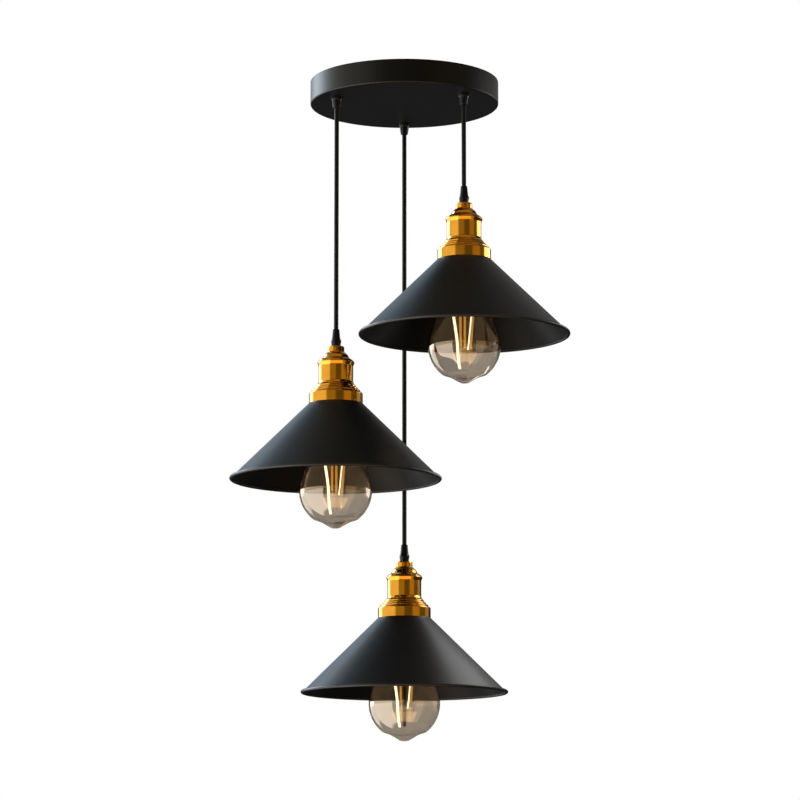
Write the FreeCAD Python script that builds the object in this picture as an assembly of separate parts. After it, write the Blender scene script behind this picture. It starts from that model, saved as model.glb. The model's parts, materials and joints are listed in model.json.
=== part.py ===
"""Pendant lamp with three metal shades that hang on cords from one round ceiling canopy.

Millimetres and degrees. The origin is on the ceiling, at the canopy's centre, with +Z up.
Each lamp is made on its own axis, with height 0 at the plane of its shade's rim, and is then
moved below its cord. Screw threads are plain cylinders at their outer diameter.
"""
import FreeCAD, Part
import math
import os

Vector = FreeCAD.Vector
UP = Vector(0, 0, 1)

# Clearances
THREAD_FIT = 0.05
LOOSE_FIT = 0.3
MOVING_GAP = 0.3

# Canopy
CANOPY_R = 100.0
CANOPY_DEPTH = 25.0
CANOPY_WALL = 1.0
CANOPY_EDGE_R = 1.6
HOLE_CIRCLE_R = 80.0

# Pendants: direction of the cord's hole seen from above, and length of the free cord
LEFT_ANGLE = 207.0
LEFT_CORD_LENGTH = 235.5
RIGHT_ANGLE = 321.0
RIGHT_CORD_LENGTH = 86.0
BACK_ANGLE = 90.0
BACK_CORD_LENGTH = 447.5

# Cord
CORD_R = 2.4
CORE_R = 0.95
CONDUCTOR_R = 0.45
CORE_TWIST_R = 1.2
PIVOT_OUTSIDE = 0.6
MOUTH_FIT = 0.4

# Cord grips: the canopy's three, and one on each lamp holder
GRIP_THREAD_R = 5.0
GRIP_MOUTH_DEPTH = 4.5
CANOPY_GRIP_FLANGE_R = 6.3
CANOPY_GRIP_FLANGE_H = 2.2
CANOPY_GRIP_MOUTH_R = 3.9
CANOPY_GRIP_DROP = 12.0
CANOPY_GRIP_STEM = 5.5
LOCKNUT_ACROSS = 14.0
LOCKNUT_H = 3.0
HOLDER_GRIP_MOUTH_R = 3.5
HOLDER_GRIP_BELLY_R = 5.25
HOLDER_GRIP_BELLY_H = 5.8
HOLDER_GRIP_FOOT_R = 4.6
HOLDER_GRIP_H = 18.4
HOLDER_GRIP_STEM = 7.5
GRIP_SHOULDER_R = 4.0
GRIP_SHOULDER_H = 13.0

# Ceiling bracket and the screws through the canopy's side
STRAP_W = 20.0
STRAP_T = 1.5
EAR_DROP = 17.0
SLOT_SPACING = 70.0
SLOT_L = 20.0
SLOT_R = 2.25
SIDE_SCREW_R = 2.0
SIDE_SCREW_L = 6.0
SIDE_SCREW_DROP = 12.0
HEX_SOCKET_ACROSS = 2.0
HEX_SOCKET_DEPTH = 2.2

# Terminal block
WAY_PITCH = 10.0
BLOCK_W = 18.0
BLOCK_H = 13.0
BLOCK_END = 5.0
PILLAR_R = 2.9
PILLAR_L = 16.0
PILLAR_DROP = 6.9
WIRE_BORE_R = 1.8
WIRE_STOP_L = 4.0
ENTRY_R = 2.1
SCREW_R = 1.5
SCREW_HEAD_R = 2.5
SCREW_HEAD_H = 1.6
SCREW_SLOT_W = 0.6
SCREW_SLOT_DEPTH = 0.7
TERMINAL_SCREW_L = 4.5
TERMINAL_SCREW_Y = 5.0
BLOCK_SCREW_OFFSET = 15.0

# Brass holder, from its collar up
HOLDER_R = 18.0
HOLDER_WALL = 1.0
COLLAR_R = 28.0
COLLAR_WALL = 1.2
COLLAR_BAND_H = 9.6
COLLAR_H = 20.6
COLLAR_HUB_WALL = 1.8
HOLDER_RISE = 23.0
STOP_RING_R = 18.9
STOP_RING_H = 2.0
HOLDER_FLANGE_R = 19.35
HOLDER_FLANGE_H = 4.2
CAP_NECK_R = 8.65
CAP_NECK_H = 5.4
CAP_WAIST_R = 14.1
CAP_H = 16.4
CAP_WALL = 1.2
CAP_SKIRT_WALL = 1.1

# Lamp socket inside the holder
LIP_H = 0.8
LIP_W = 2.2
CORE_BODY_H = 37.0
CORE_FLOOR_H = 8.2
CORE_FIT = 0.4
SHELL_R = 14.0
SHELL_WALL = 0.4
SHELL_LIFT = 1.0
SHELL_FLOOR_HOLE_R = 6.0
CONTACT_R = 4.5
CONTACT_T = 0.6
RIVET_R = 2.0
RIVET_HEAD_R = 3.4
RIVET_HEAD_H = 1.0
POST_R = 2.5
POST_H = 7.6
POST_SINK = 5.0
POST_CIRCLE_R = 10.0
POST_BORE_DEPTH = 3.0
CORD_STRIP_H = 4.5

# Shade
RIM_R = 110.0
RIM_BEAD_R = 1.8
RIM_BEAD_PROUD = 2.0
SHADE_T = 0.8
SHADE_HALF_ANGLE = 45.5
SHADE_TOP_R = 23.3
SHADE_CORNER_R = 2.0
SHADE_RING_R = 21.4
SHADE_RING_H = 5.0
SHADE_RING_NOTCHES = 16
NOTCH_R = 1.1
TUBE_BELOW_RING = 1.0

# Bulb, from its centre contact down
BULB_L = 156.4
BULB_BELLY_R = 37.8
BULB_BELLY_UP = 39.3
BULB_FLANK_ANGLE = 14.0
BULB_BOTTOM_ANGLE = 49.2
BULB_BOTTOM_RUN = 1.6
BULB_FLARE_R = 15.1
BULB_FLARE_UP = 6.6
BULB_POINT_R = 4.0
BULB_SHOULDER_R = 19.0
BULB_NECK_R = 12.3
BULB_NECK_DOWN = 33.0
GLASS_T = 0.8
GLASS_TOP_DOWN = 21.0
SHELL_THREAD_R = 13.15
SHELL_ROOT_R = 12.25
BULB_SHELL_WALL = 0.35
THREAD_PITCH = 3.6
THREAD_TURNS = 4
BULB_CAP_TOP_DOWN = 6.0
BULB_CAP_L = 26.5
INSULATOR_R = 9.6
BUTTON_R = 4.8
BUTTON_H = 1.4
STEM_R = 3.6
STEM_BUTTON_R = 5.4
STEM_DOWN = 58.0
ROD_TOP_DOWN = 62.0
LIT_ROD_R = 1.45
SLIM_ROD_R = 0.85
LEAD_R = 0.3
CENTRE_ROD_R = 2.05
CENTRE_ROD_UP = 15.2


def turned(points):
    """Solid turned about the Z axis from a closed outline of (radius, height, corner radius)."""
    return Part.Face(outline(points)).revolve(Vector(0, 0, 0), UP, 360)


def outline(points):
    """Closed wire in the XZ plane, with an arc at each corner that has a radius."""
    corners = [rounded_corner(points, index) for index in range(len(points))]
    edges = []
    for index, (start, middle, end) in enumerate(corners):
        previous_end = corners[index - 1][2]
        if previous_end.distanceToPoint(start) > 1e-6:
            edges.append(Part.LineSegment(previous_end, start).toShape())
        if middle is not None:
            edges.append(Part.Arc(start, middle, end).toShape())
    return Part.Wire(Part.__sortEdges__(edges))


def rounded_corner(points, index):
    """Start, middle and end of one corner of an outline; the middle is None where it is sharp."""
    count = len(points)
    here = Vector(points[index][0], 0, points[index][1])
    radius = points[index][2] if len(points[index]) > 2 else 0
    before = Vector(points[index - 1][0], 0, points[index - 1][1])
    after = Vector(points[(index + 1) % count][0], 0, points[(index + 1) % count][1])
    return corner_arc(before, here, after, radius)


def corner_arc(before, here, after, radius):
    """Arc that is tangent to the two runs that meet here, as its start, middle and end."""
    to_before = (before - here).normalize()
    to_after = (after - here).normalize()
    half = to_before.getAngle(to_after) / 2
    if radius <= 0 or half > math.pi / 2 - 0.001:
        return here, None, here
    reach = radius / math.tan(half)
    to_centre = (to_before + to_after).normalize()
    centre = here + to_centre * (radius / math.sin(half))
    return here + to_before * reach, centre - to_centre * radius, here + to_after * reach


def offset_path(points, distance):
    """An open outline moved sideways, to the left of its direction, keeping its arcs' centres."""
    moved = []
    for index, point in enumerate(points):
        before = points[max(index - 1, 0)]
        after = points[min(index + 1, len(points) - 1)]
        normal_in = left_normal(before, point)
        normal_out = left_normal(point, after)
        if index == 0:
            normal_in = normal_out
        if index == len(points) - 1:
            normal_out = normal_in
        cosine = normal_in[0] * normal_out[0] + normal_in[1] * normal_out[1]
        scale = distance / (1 + cosine)
        r = point[0] + (normal_in[0] + normal_out[0]) * scale
        z = point[1] + (normal_in[1] + normal_out[1]) * scale
        radius = point[2] if len(point) > 2 else 0
        turn = normal_in[0] * normal_out[1] - normal_in[1] * normal_out[0]
        if radius:
            radius = max(radius - distance if turn > 0 else radius + distance, 0.05)
        moved.append((r, z, radius))
    return moved


def left_normal(start, end):
    length = math.hypot(end[0] - start[0], end[1] - start[1]) or 1.0
    return (start[1] - end[1]) / length, (end[0] - start[0]) / length


def disc(radius, low, high, x=0.0, y=0.0):
    return Part.makeCylinder(radius, high - low, Vector(x, y, low))


def tube(outer, inner, low, high):
    return turned([(inner, low), (outer, low), (outer, high), (inner, high)])


def bar(start, end, radius):
    """Round bar from one point to another."""
    run = end - start
    return Part.makeCylinder(radius, run.Length, start, run)


def box(x_low, x_high, y_low, y_high, z_low, z_high):
    return Part.makeBox(x_high - x_low, y_high - y_low, z_high - z_low, Vector(x_low, y_low, z_low))


def hexagon(across, low, high):
    """Upright six-sided bar."""
    corner_r = across / math.sqrt(3)
    points = [Vector(corner_r * math.cos(math.radians(60 * side)),
                     corner_r * math.sin(math.radians(60 * side)), low) for side in range(7)]
    return Part.Face(Part.makePolygon(points)).extrude(Vector(0, 0, high - low))


def wire_tube(points, radius, bend):
    """Round wire along straight runs that are joined by tangent arcs."""
    edges = []
    last = points[0]
    for before, here, after in zip(points, points[1:], points[2:]):
        half = (before - here).getAngle(after - here) / 2
        shorter = min((before - here).Length, (after - here).Length)
        start, middle, end = corner_arc(before, here, after, min(bend, 0.45 * shorter * math.tan(half)))
        if middle is None:
            continue
        edges.append(Part.LineSegment(last, start).toShape())
        edges.append(Part.Arc(start, middle, end).toShape())
        last = end
    edges.append(Part.LineSegment(last, points[-1]).toShape())
    path = Part.Wire(edges)
    section = Part.Wire(Part.Circle(points[0], points[1] - points[0], radius).toShape())
    return path.makePipeShell([section], True, False)


def save(name, *solids):
    """Write one piece, or one group of like pieces, as its own file."""
    shape = solids[0] if len(solids) == 1 else Part.makeCompound(list(solids))
    shape.exportStep("parts/" + name + ".step")
    print(name, "solids", len(shape.Solids), "valid", shape.isValid(), "volume", round(shape.Volume, 1))


# Heights on a lamp's own axis, from the rim plane up
CONE_SLOPE = math.tan(math.radians(SHADE_HALF_ANGLE))
CONE_BASE_R = RIM_R - RIM_BEAD_PROUD
CONE_WALL_R = SHADE_T * math.sqrt(1 + CONE_SLOPE ** 2)


def cone_height(radius):
    """Height at which the shade's outside has this radius."""
    return (CONE_BASE_R - radius) / CONE_SLOPE


SHADE_TOP = cone_height(SHADE_TOP_R)
SHADE_UNDERSIDE = SHADE_TOP - SHADE_T
COLLAR_BASE = cone_height(COLLAR_R)
COLLAR_TOP = COLLAR_BASE + COLLAR_H
HOLDER_TOP = COLLAR_TOP + HOLDER_RISE
HOLDER_BASE = SHADE_UNDERSIDE - SHADE_RING_H - TUBE_BELOW_RING
CAP_TOP = HOLDER_TOP + CAP_H
GRIP_TOP = CAP_TOP + HOLDER_GRIP_H
LAMP_PIVOT = GRIP_TOP + PIVOT_OUTSIDE

SEAT_BORE_R = HOLDER_R + THREAD_FIT
HOLDER_BORE_R = HOLDER_R - HOLDER_WALL
CORE_LOW = HOLDER_BASE + LIP_H
CORE_TOP = CORE_LOW + CORE_BODY_H
CORE_FLOOR = CORE_TOP - CORE_FLOOR_H
CORE_OUTER_R = HOLDER_BORE_R - CORE_FIT
SHELL_BORE_R = SHELL_R - SHELL_WALL
POST_TOP = CORE_TOP - POST_SINK + POST_H
CONTACT_LOW = CORE_FLOOR - SHELL_WALL - CONTACT_T
CAP_BORE_R = GRIP_THREAD_R + THREAD_FIT
CLAMP_BORE_R = CORD_R + THREAD_FIT
MOUTH_BORE_R = CORD_R + MOUTH_FIT

BULB_TOP = CONTACT_LOW - MOVING_GAP
BULB_TIP = BULB_TOP - BULB_L
BELLY_HEIGHT = BULB_TIP + BULB_BELLY_UP
CAP_SHELL_TOP = BULB_TOP - BULB_CAP_TOP_DOWN
CAP_SHELL_LOW = BULB_TOP - BULB_CAP_L
GLASS_TOP = BULB_TOP - GLASS_TOP_DOWN
STEM_END = BULB_TOP - STEM_DOWN
ROD_TOP = BULB_TOP - ROD_TOP_DOWN

CANOPY_FLOOR = -CANOPY_DEPTH + CANOPY_WALL
CORD_PIVOT = -CANOPY_DEPTH - CANOPY_GRIP_DROP - PIVOT_OUTSIDE
CORD_CLEAR = CORD_R + MOVING_GAP
STEM_TOP = -CANOPY_DEPTH + CANOPY_GRIP_STEM
SHEATH_TOP = STEM_TOP + 1.0


def cord(length):
    """Free cord with ball ends, which turn in the mouths of the two grips."""
    body = Part.makeCylinder(CORD_R, length, Vector(0, 0, -length))
    return body.fuse(Part.makeSphere(CORD_R)).fuse(Part.makeSphere(CORD_R, Vector(0, 0, -length))).removeSplitter()


def grip_bore(mouth, depth_direction, far_end):
    """The cord's way through a grip: wide at its mouth, and tight on the cord beyond that."""
    shoulder = mouth + depth_direction * GRIP_MOUTH_DEPTH
    wide = disc(MOUTH_BORE_R, min(mouth, shoulder), max(mouth, shoulder))
    tight = disc(CLAMP_BORE_R, min(shoulder, far_end), max(shoulder, far_end))
    return wide.fuse(tight)


def holder_grip():
    """Black grip on the holder's neck, which carries the lamp on its cord."""
    base = CAP_TOP
    body = turned([
        (0, base - HOLDER_GRIP_STEM),
        (GRIP_THREAD_R, base - HOLDER_GRIP_STEM),
        (GRIP_THREAD_R, base),
        (HOLDER_GRIP_FOOT_R, base),
        (HOLDER_GRIP_BELLY_R, base + HOLDER_GRIP_BELLY_H, 2.0),
        (GRIP_SHOULDER_R, base + GRIP_SHOULDER_H, 6.0),
        (HOLDER_GRIP_MOUTH_R, GRIP_TOP, 0.5),
        (0, GRIP_TOP)])
    return body.cut(grip_bore(GRIP_TOP, -1, base - HOLDER_GRIP_STEM))


def canopy_grip():
    """Black grip whose thread passes up through the canopy."""
    under = -CANOPY_DEPTH
    mouth = under - CANOPY_GRIP_DROP
    body = turned([
        (0, mouth),
        (CANOPY_GRIP_MOUTH_R, mouth, 0.5),
        (CANOPY_GRIP_FLANGE_R - 0.9, under - CANOPY_GRIP_FLANGE_H - 1.0, 1.5),
        (CANOPY_GRIP_FLANGE_R, under - CANOPY_GRIP_FLANGE_H, 0.4),
        (CANOPY_GRIP_FLANGE_R, under),
        (GRIP_THREAD_R, under),
        (GRIP_THREAD_R, STEM_TOP),
        (0, STEM_TOP)])
    return body.cut(grip_bore(mouth, 1, STEM_TOP))


def locknut():
    nut = hexagon(LOCKNUT_ACROSS, CANOPY_FLOOR, CANOPY_FLOOR + LOCKNUT_H)
    return nut.cut(disc(GRIP_THREAD_R + THREAD_FIT, CANOPY_FLOOR, CANOPY_FLOOR + LOCKNUT_H))


def holder_cap():
    """Brass cap: a neck for the grip, two shoulders and a threaded skirt inside the holder."""
    low = HOLDER_TOP
    outer = [
        (CAP_NECK_R - 0.5, CAP_TOP, 0.3),
        (CAP_NECK_R, CAP_TOP - 0.9, 0.5),
        (CAP_NECK_R, CAP_TOP - CAP_NECK_H, 0.4),
        (CAP_WAIST_R - 0.6, low + 5.6, 4.0),
        (CAP_WAIST_R, low + 3.6, 0.6),
        (HOLDER_FLANGE_R - 0.9, low + 0.9, 3.0),
        (HOLDER_FLANGE_R - 0.4, low)]
    skirt_r = HOLDER_BORE_R - THREAD_FIT
    skirt_inner_r = skirt_r - CAP_SKIRT_WALL
    skirt_low = CORE_TOP + THREAD_FIT
    dome_low = HOLDER_TOP + 2.4
    inside = [
        (skirt_r, low),
        (skirt_r, skirt_low),
        (skirt_inner_r, skirt_low),
        (skirt_inner_r, dome_low - 1.6),
        (CAP_WAIST_R - CAP_WALL, dome_low, 0.8),
        (CAP_NECK_R + 0.2, CAP_TOP - CAP_NECK_H - CAP_WALL, 3.0),
        (CAP_BORE_R, CAP_TOP - CAP_NECK_H - CAP_WALL)]
    return turned(outer + inside + [(CAP_BORE_R, CAP_TOP)])


def holder_body():
    """Brass tube with a rolled flange, a stop ring and an inner lip that carries the socket."""
    stop_low = COLLAR_TOP
    flange_low = HOLDER_TOP - HOLDER_FLANGE_H
    return turned([
        (HOLDER_BORE_R, HOLDER_TOP),
        (HOLDER_FLANGE_R - 0.4, HOLDER_TOP),
        (HOLDER_FLANGE_R, HOLDER_TOP - 0.8, 0.7),
        (HOLDER_R, flange_low, 3.0),
        (HOLDER_R, stop_low + STOP_RING_H, 2.5),
        (STOP_RING_R, stop_low),
        (HOLDER_R, stop_low),
        (HOLDER_R, HOLDER_BASE),
        (HOLDER_BORE_R - LIP_W, HOLDER_BASE),
        (HOLDER_BORE_R - LIP_W, HOLDER_BASE + LIP_H),
        (HOLDER_BORE_R, HOLDER_BASE + LIP_H)])


def shade_collar():
    """Stepped brass collar above the shade: its band rests on the cone, its hub on the flat top."""
    band_top = COLLAR_BASE + COLLAR_BAND_H
    hub_r = SEAT_BORE_R + COLLAR_HUB_WALL
    inner_r = COLLAR_R - COLLAR_WALL
    seat_gap = THREAD_FIT * math.sqrt(1 + 1 / CONE_SLOPE ** 2)
    return turned([
        (SEAT_BORE_R, SHADE_TOP),
        (hub_r, SHADE_TOP),
        (hub_r, band_top - COLLAR_WALL, 0.6),
        (inner_r, band_top - COLLAR_WALL, 1.0),
        (inner_r, cone_height(inner_r) + seat_gap),
        (COLLAR_R, COLLAR_BASE + seat_gap),
        (COLLAR_R, band_top + 0.9, 1.3),
        (COLLAR_R - 2.5, band_top + 2.8, 0.5),
        (COLLAR_R - 2.6, band_top + 4.3, 0.7),
        (COLLAR_R - 4.7, band_top + 5.0, 0.3),
        (COLLAR_R - 5.2, band_top + 6.8, 1.0),
        (COLLAR_R - 7.0, band_top + 7.3, 0.3),
        (COLLAR_R - 7.5, band_top + 9.3, 1.2),
        (STOP_RING_R + 0.1, COLLAR_TOP - 0.4),
        (STOP_RING_R, COLLAR_TOP),
        (SEAT_BORE_R, COLLAR_TOP)])


def shade():
    """Spun steel cone with a flat top, a hole for the holder and a rolled bead at its rim."""
    hole_r = HOLDER_R + LOOSE_FIT
    inner_base_r = CONE_BASE_R - CONE_WALL_R
    inner_top_r = inner_base_r - SHADE_UNDERSIDE * CONE_SLOPE
    shell = turned([
        (hole_r, SHADE_TOP),
        (SHADE_TOP_R, SHADE_TOP, SHADE_CORNER_R),
        (CONE_BASE_R, 0),
        (inner_base_r, 0),
        (inner_top_r, SHADE_UNDERSIDE, SHADE_CORNER_R - SHADE_T),
        (hole_r, SHADE_UNDERSIDE)])
    bead = Part.makeTorus(RIM_R - RIM_BEAD_R, RIM_BEAD_R)
    return shell.fuse(bead)


def shade_ring():
    """Ring nut inside the shade, notched for the fingers, which clamps the flat top."""
    high = SHADE_UNDERSIDE
    low = high - SHADE_RING_H
    ring = turned([
        (SEAT_BORE_R, low),
        (SHADE_RING_R, low, 0.6),
        (SHADE_RING_R, high),
        (SEAT_BORE_R, high)])
    for index in range(SHADE_RING_NOTCHES):
        turn = math.radians(360.0 / SHADE_RING_NOTCHES * index)
        ring = ring.cut(disc(NOTCH_R, low, high, SHADE_RING_R * math.cos(turn), SHADE_RING_R * math.sin(turn)))
    return ring


def socket_core():
    """Porcelain body of the lamp socket, with pockets for three wire posts in its top."""
    core = turned([
        (0, CORE_FLOOR),
        (SHELL_R + THREAD_FIT, CORE_FLOOR),
        (SHELL_R + THREAD_FIT, CORE_LOW),
        (CORE_OUTER_R, CORE_LOW),
        (CORE_OUTER_R, CORE_TOP, 0.8),
        (0, CORE_TOP)])
    core = core.cut(disc(RIVET_R + THREAD_FIT, CORE_FLOOR, CORE_TOP))
    for x, y in post_places():
        core = core.cut(disc(POST_R + THREAD_FIT, CORE_TOP - POST_SINK, CORE_TOP, x, y))
    return core


def post_places():
    """Centres of the three wire posts: live, neutral and earth."""
    turns = [math.radians(90 + 120 * index) for index in range(3)]
    return [(POST_CIRCLE_R * math.cos(turn), POST_CIRCLE_R * math.sin(turn)) for turn in turns]


def screw_shell():
    """Brass shell that takes the bulb's thread, as a plain sleeve with a pierced floor."""
    return turned([
        (SHELL_BORE_R, CORE_LOW + SHELL_LIFT),
        (SHELL_R, CORE_LOW + SHELL_LIFT),
        (SHELL_R, CORE_FLOOR),
        (SHELL_FLOOR_HOLE_R, CORE_FLOOR),
        (SHELL_FLOOR_HOLE_R, CORE_FLOOR - SHELL_WALL),
        (SHELL_BORE_R, CORE_FLOOR - SHELL_WALL)])


def socket_contacts():
    """Riveted centre contact, and three push-in posts for the cord's wires."""
    rivet = turned([
        (0, CONTACT_LOW),
        (CONTACT_R, CONTACT_LOW),
        (CONTACT_R, CONTACT_LOW + CONTACT_T),
        (RIVET_R + 0.6, CORE_FLOOR),
        (RIVET_R, CORE_FLOOR),
        (RIVET_R, CORE_TOP),
        (RIVET_HEAD_R, CORE_TOP),
        (RIVET_HEAD_R, CORE_TOP + RIVET_HEAD_H, 0.4),
        (0, CORE_TOP + RIVET_HEAD_H)])
    solids = [rivet]
    for x, y in post_places():
        post = disc(POST_R, CORE_TOP - POST_SINK, POST_TOP, x, y)
        bore = disc(CORE_R + THREAD_FIT, POST_TOP - POST_BORE_DEPTH, POST_TOP, x, y)
        solids.append(post.cut(bore))
    return solids


def holder_cord_end():
    """The cord's end in the holder: its sheath through the grip, and three wires to the posts."""
    sheath_low = CAP_TOP - CAP_NECK_H - CORD_STRIP_H
    solids = [disc(CORD_R, sheath_low, LAMP_PIVOT - CORD_CLEAR)]
    for x, y in post_places():
        share = CORE_TWIST_R / POST_CIRCLE_R
        near = Vector(x * share, y * share, 0)
        far = Vector(x, y, 0)
        route = [
            near + UP * sheath_low,
            near + UP * (sheath_low - 1.8),
            far + UP * (POST_TOP + 2.4),
            far + UP * (POST_TOP - POST_BORE_DEPTH + THREAD_FIT)]
        solids.append(wire_tube(route, CORE_R, 3.0))
    return solids


def bulb_outline():
    """Outside of the bulb's glass from its neck down to its pointed tip."""
    flank = math.radians(BULB_FLANK_ANGLE)
    bottom = math.radians(BULB_BOTTOM_ANGLE)
    flank_r = BULB_BELLY_R * math.cos(flank)
    flank_z = BELLY_HEIGHT + BULB_BELLY_R * math.sin(flank)
    bottom_r = BULB_BELLY_R * math.cos(bottom)
    bottom_z = BELLY_HEIGHT - BULB_BELLY_R * math.sin(bottom)
    slope = math.tan(flank)
    fall = 1 / math.tan(bottom)
    corner_r = (flank_r + slope * (flank_z - bottom_z + fall * bottom_r)) / (1 + slope * fall)
    corner_z = bottom_z + fall * (corner_r - bottom_r)
    shoulder_z = flank_z + (flank_r - BULB_SHOULDER_R) / slope
    neck_z = BULB_TOP - BULB_NECK_DOWN
    turn_r = bottom_r - BULB_BOTTOM_RUN
    turn_z = bottom_z - fall * BULB_BOTTOM_RUN
    return [
        (BULB_NECK_R, GLASS_TOP),
        (BULB_NECK_R, neck_z, 6.0),
        (BULB_SHOULDER_R, shoulder_z, 12.0),
        (corner_r, corner_z, BULB_BELLY_R),
        (turn_r, turn_z, 6.5),
        (BULB_FLARE_R, BULB_TIP + BULB_FLARE_UP, 8.2),
        (BULB_POINT_R, BULB_TIP, 7.2),
        (0, BULB_TIP)]


def bulb_glass():
    """Thin pear-shaped glass with a point at its bottom."""
    outside = bulb_outline()
    inside = offset_path(outside, -GLASS_T)
    inside[-1] = (0, inside[-1][1])
    return turned(outside + list(reversed(inside)))


def bulb_cap():
    """Brass screw cap with ring-shaped threads, and the solder button of its centre contact."""
    low = CAP_SHELL_LOW
    thread_low = CAP_SHELL_TOP - THREAD_TURNS * THREAD_PITCH
    outer = [(BULB_NECK_R + THREAD_FIT + BULB_SHELL_WALL, low)]
    outer.append((BULB_NECK_R + THREAD_FIT + BULB_SHELL_WALL, thread_low - 1.2, 0.4))
    for turn in range(THREAD_TURNS):
        start = thread_low + turn * THREAD_PITCH
        outer.append((SHELL_ROOT_R, start, 0.9))
        outer.append((SHELL_THREAD_R, start + THREAD_PITCH / 2, 0.9))
    outer.append((SHELL_ROOT_R - 0.2, CAP_SHELL_TOP, 0.3))
    outer.append((INSULATOR_R, CAP_SHELL_TOP))
    inside = [(INSULATOR_R, CAP_SHELL_TOP - BULB_SHELL_WALL)]
    bore_r = SHELL_ROOT_R - BULB_SHELL_WALL - 0.2
    inside.append((bore_r, CAP_SHELL_TOP - BULB_SHELL_WALL))
    inside.append((bore_r, GLASS_TOP + 1.0))
    inside.append((BULB_NECK_R + THREAD_FIT, GLASS_TOP + 0.2))
    inside.append((BULB_NECK_R + THREAD_FIT, low))
    shell = turned(outer + inside)
    button = turned([
        (0, BULB_TOP - BUTTON_H),
        (BUTTON_R, BULB_TOP - BUTTON_H),
        (BUTTON_R - 0.6, BULB_TOP, 0.6),
        (0, BULB_TOP)])
    return [shell, button]


def bulb_insulator():
    """Black glass between the cap's shell and its centre contact."""
    top = BULB_TOP - BUTTON_H
    return turned([
        (0, CAP_SHELL_TOP - BULB_SHELL_WALL - 0.8),
        (SHELL_ROOT_R - BULB_SHELL_WALL - 0.6, CAP_SHELL_TOP - BULB_SHELL_WALL - 0.8),
        (SHELL_ROOT_R - BULB_SHELL_WALL - 0.6, CAP_SHELL_TOP - BULB_SHELL_WALL),
        (INSULATOR_R - THREAD_FIT, CAP_SHELL_TOP - BULB_SHELL_WALL),
        (INSULATOR_R - THREAD_FIT, CAP_SHELL_TOP + 0.4),
        (BUTTON_R, top),
        (0, top)])


def bulb_stem(with_centre_rod):
    """Glass stem that closes the neck and carries the filaments; one bulb has a centre rod too."""
    flare_r = BULB_NECK_R - GLASS_T
    stem = turned([
        (0, GLASS_TOP),
        (flare_r, GLASS_TOP),
        (flare_r, GLASS_TOP - 0.8),
        (STEM_R + 0.8, GLASS_TOP - 9.0, 8.0),
        (STEM_R, STEM_END + 6.0, 3.0),
        (STEM_BUTTON_R, STEM_END + 2.0, 1.2),
        (STEM_BUTTON_R, STEM_END),
        (0, STEM_END)])
    if with_centre_rod:
        rod_low = BULB_TIP + CENTRE_ROD_UP
        stem = stem.fuse(disc(CENTRE_ROD_R, rod_low, STEM_END))
    return stem


# Filament rods: place on the stem's button, top, height of the lower end above the bulb's tip,
# lower end, and radius
FILAMENTS = [
    ((-3.6, -2.0), (-14.2, -6.0), 14.2, (-4.7, -4.5), LIT_ROD_R),
    ((3.6, -2.4), (8.9, -8.0), 34.2, (4.4, -5.0), SLIM_ROD_R),
    ((-2.2, 3.6), (-3.0, 9.0), 40.0, (-2.6, 6.0), SLIM_ROD_R),
    ((2.2, 3.6), (3.4, 9.5), 38.0, (3.1, 6.5), SLIM_ROD_R),
    ((4.4, 0.6), (10.6, 3.5), 37.0, (6.6, 2.5), SLIM_ROD_R)]


def bulb_filaments():
    """Straight rods that lean inwards, each on a thin lead from the stem's button."""
    solids = []
    for root, top, low, end, radius in FILAMENTS:
        start = Vector(root[0], root[1], STEM_END)
        head = Vector(top[0], top[1], ROD_TOP)
        foot = Vector(end[0], end[1], BULB_TIP + low)
        knee = start - UP * 1.5
        lead = bar(start, knee, LEAD_R).fuse(Part.makeSphere(LEAD_R, knee)).fuse(bar(knee, head, LEAD_R))
        solids.append(lead.fuse(bar(head, foot, radius)).removeSplitter())
    return solids


# Pieces of the canopy
INNER_R = CANOPY_R - CANOPY_WALL
EAR_X = math.sqrt(INNER_R ** 2 - (STRAP_W / 2) ** 2) - LOOSE_FIT
BLOCK_LOW = -STRAP_T - BLOCK_H
PILLAR_Z = -STRAP_T - PILLAR_DROP
WAYS = {"earth": -WAY_PITCH, "neutral": 0.0, "live": WAY_PITCH}


def pendant_places():
    """Name of each pendant with its place on the canopy and its free cord's length."""
    rows = (("left", LEFT_ANGLE, LEFT_CORD_LENGTH),
            ("right", RIGHT_ANGLE, RIGHT_CORD_LENGTH),
            ("back", BACK_ANGLE, BACK_CORD_LENGTH))
    for name, angle, length in rows:
        turn = math.radians(angle)
        yield name, HOLE_CIRCLE_R * math.cos(turn), HOLE_CIRCLE_R * math.sin(turn), length


def canopy():
    """Black steel dish, open towards the ceiling, with holes for the grips and the side screws."""
    low = -CANOPY_DEPTH
    dish = turned([
        (0, low),
        (CANOPY_R, low, CANOPY_EDGE_R),
        (CANOPY_R, 0),
        (INNER_R, 0),
        (INNER_R, CANOPY_FLOOR, max(CANOPY_EDGE_R - CANOPY_WALL, 0.1)),
        (0, CANOPY_FLOOR)])
    for name, x, y, length in pendant_places():
        dish = dish.cut(disc(GRIP_THREAD_R + LOOSE_FIT, low - 1, CANOPY_FLOOR + 1, x, y))
    for side in (-1, 1):
        dish = dish.cut(side_bar(side, INNER_R - 1, CANOPY_R + 1, SIDE_SCREW_R + LOOSE_FIT / 2))
    return dish


def side_bar(side, near, far, radius):
    """Round bar along X at the height of the side screws."""
    return bar(Vector(side * near, 0, -SIDE_SCREW_DROP), Vector(side * far, 0, -SIDE_SCREW_DROP), radius)


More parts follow.
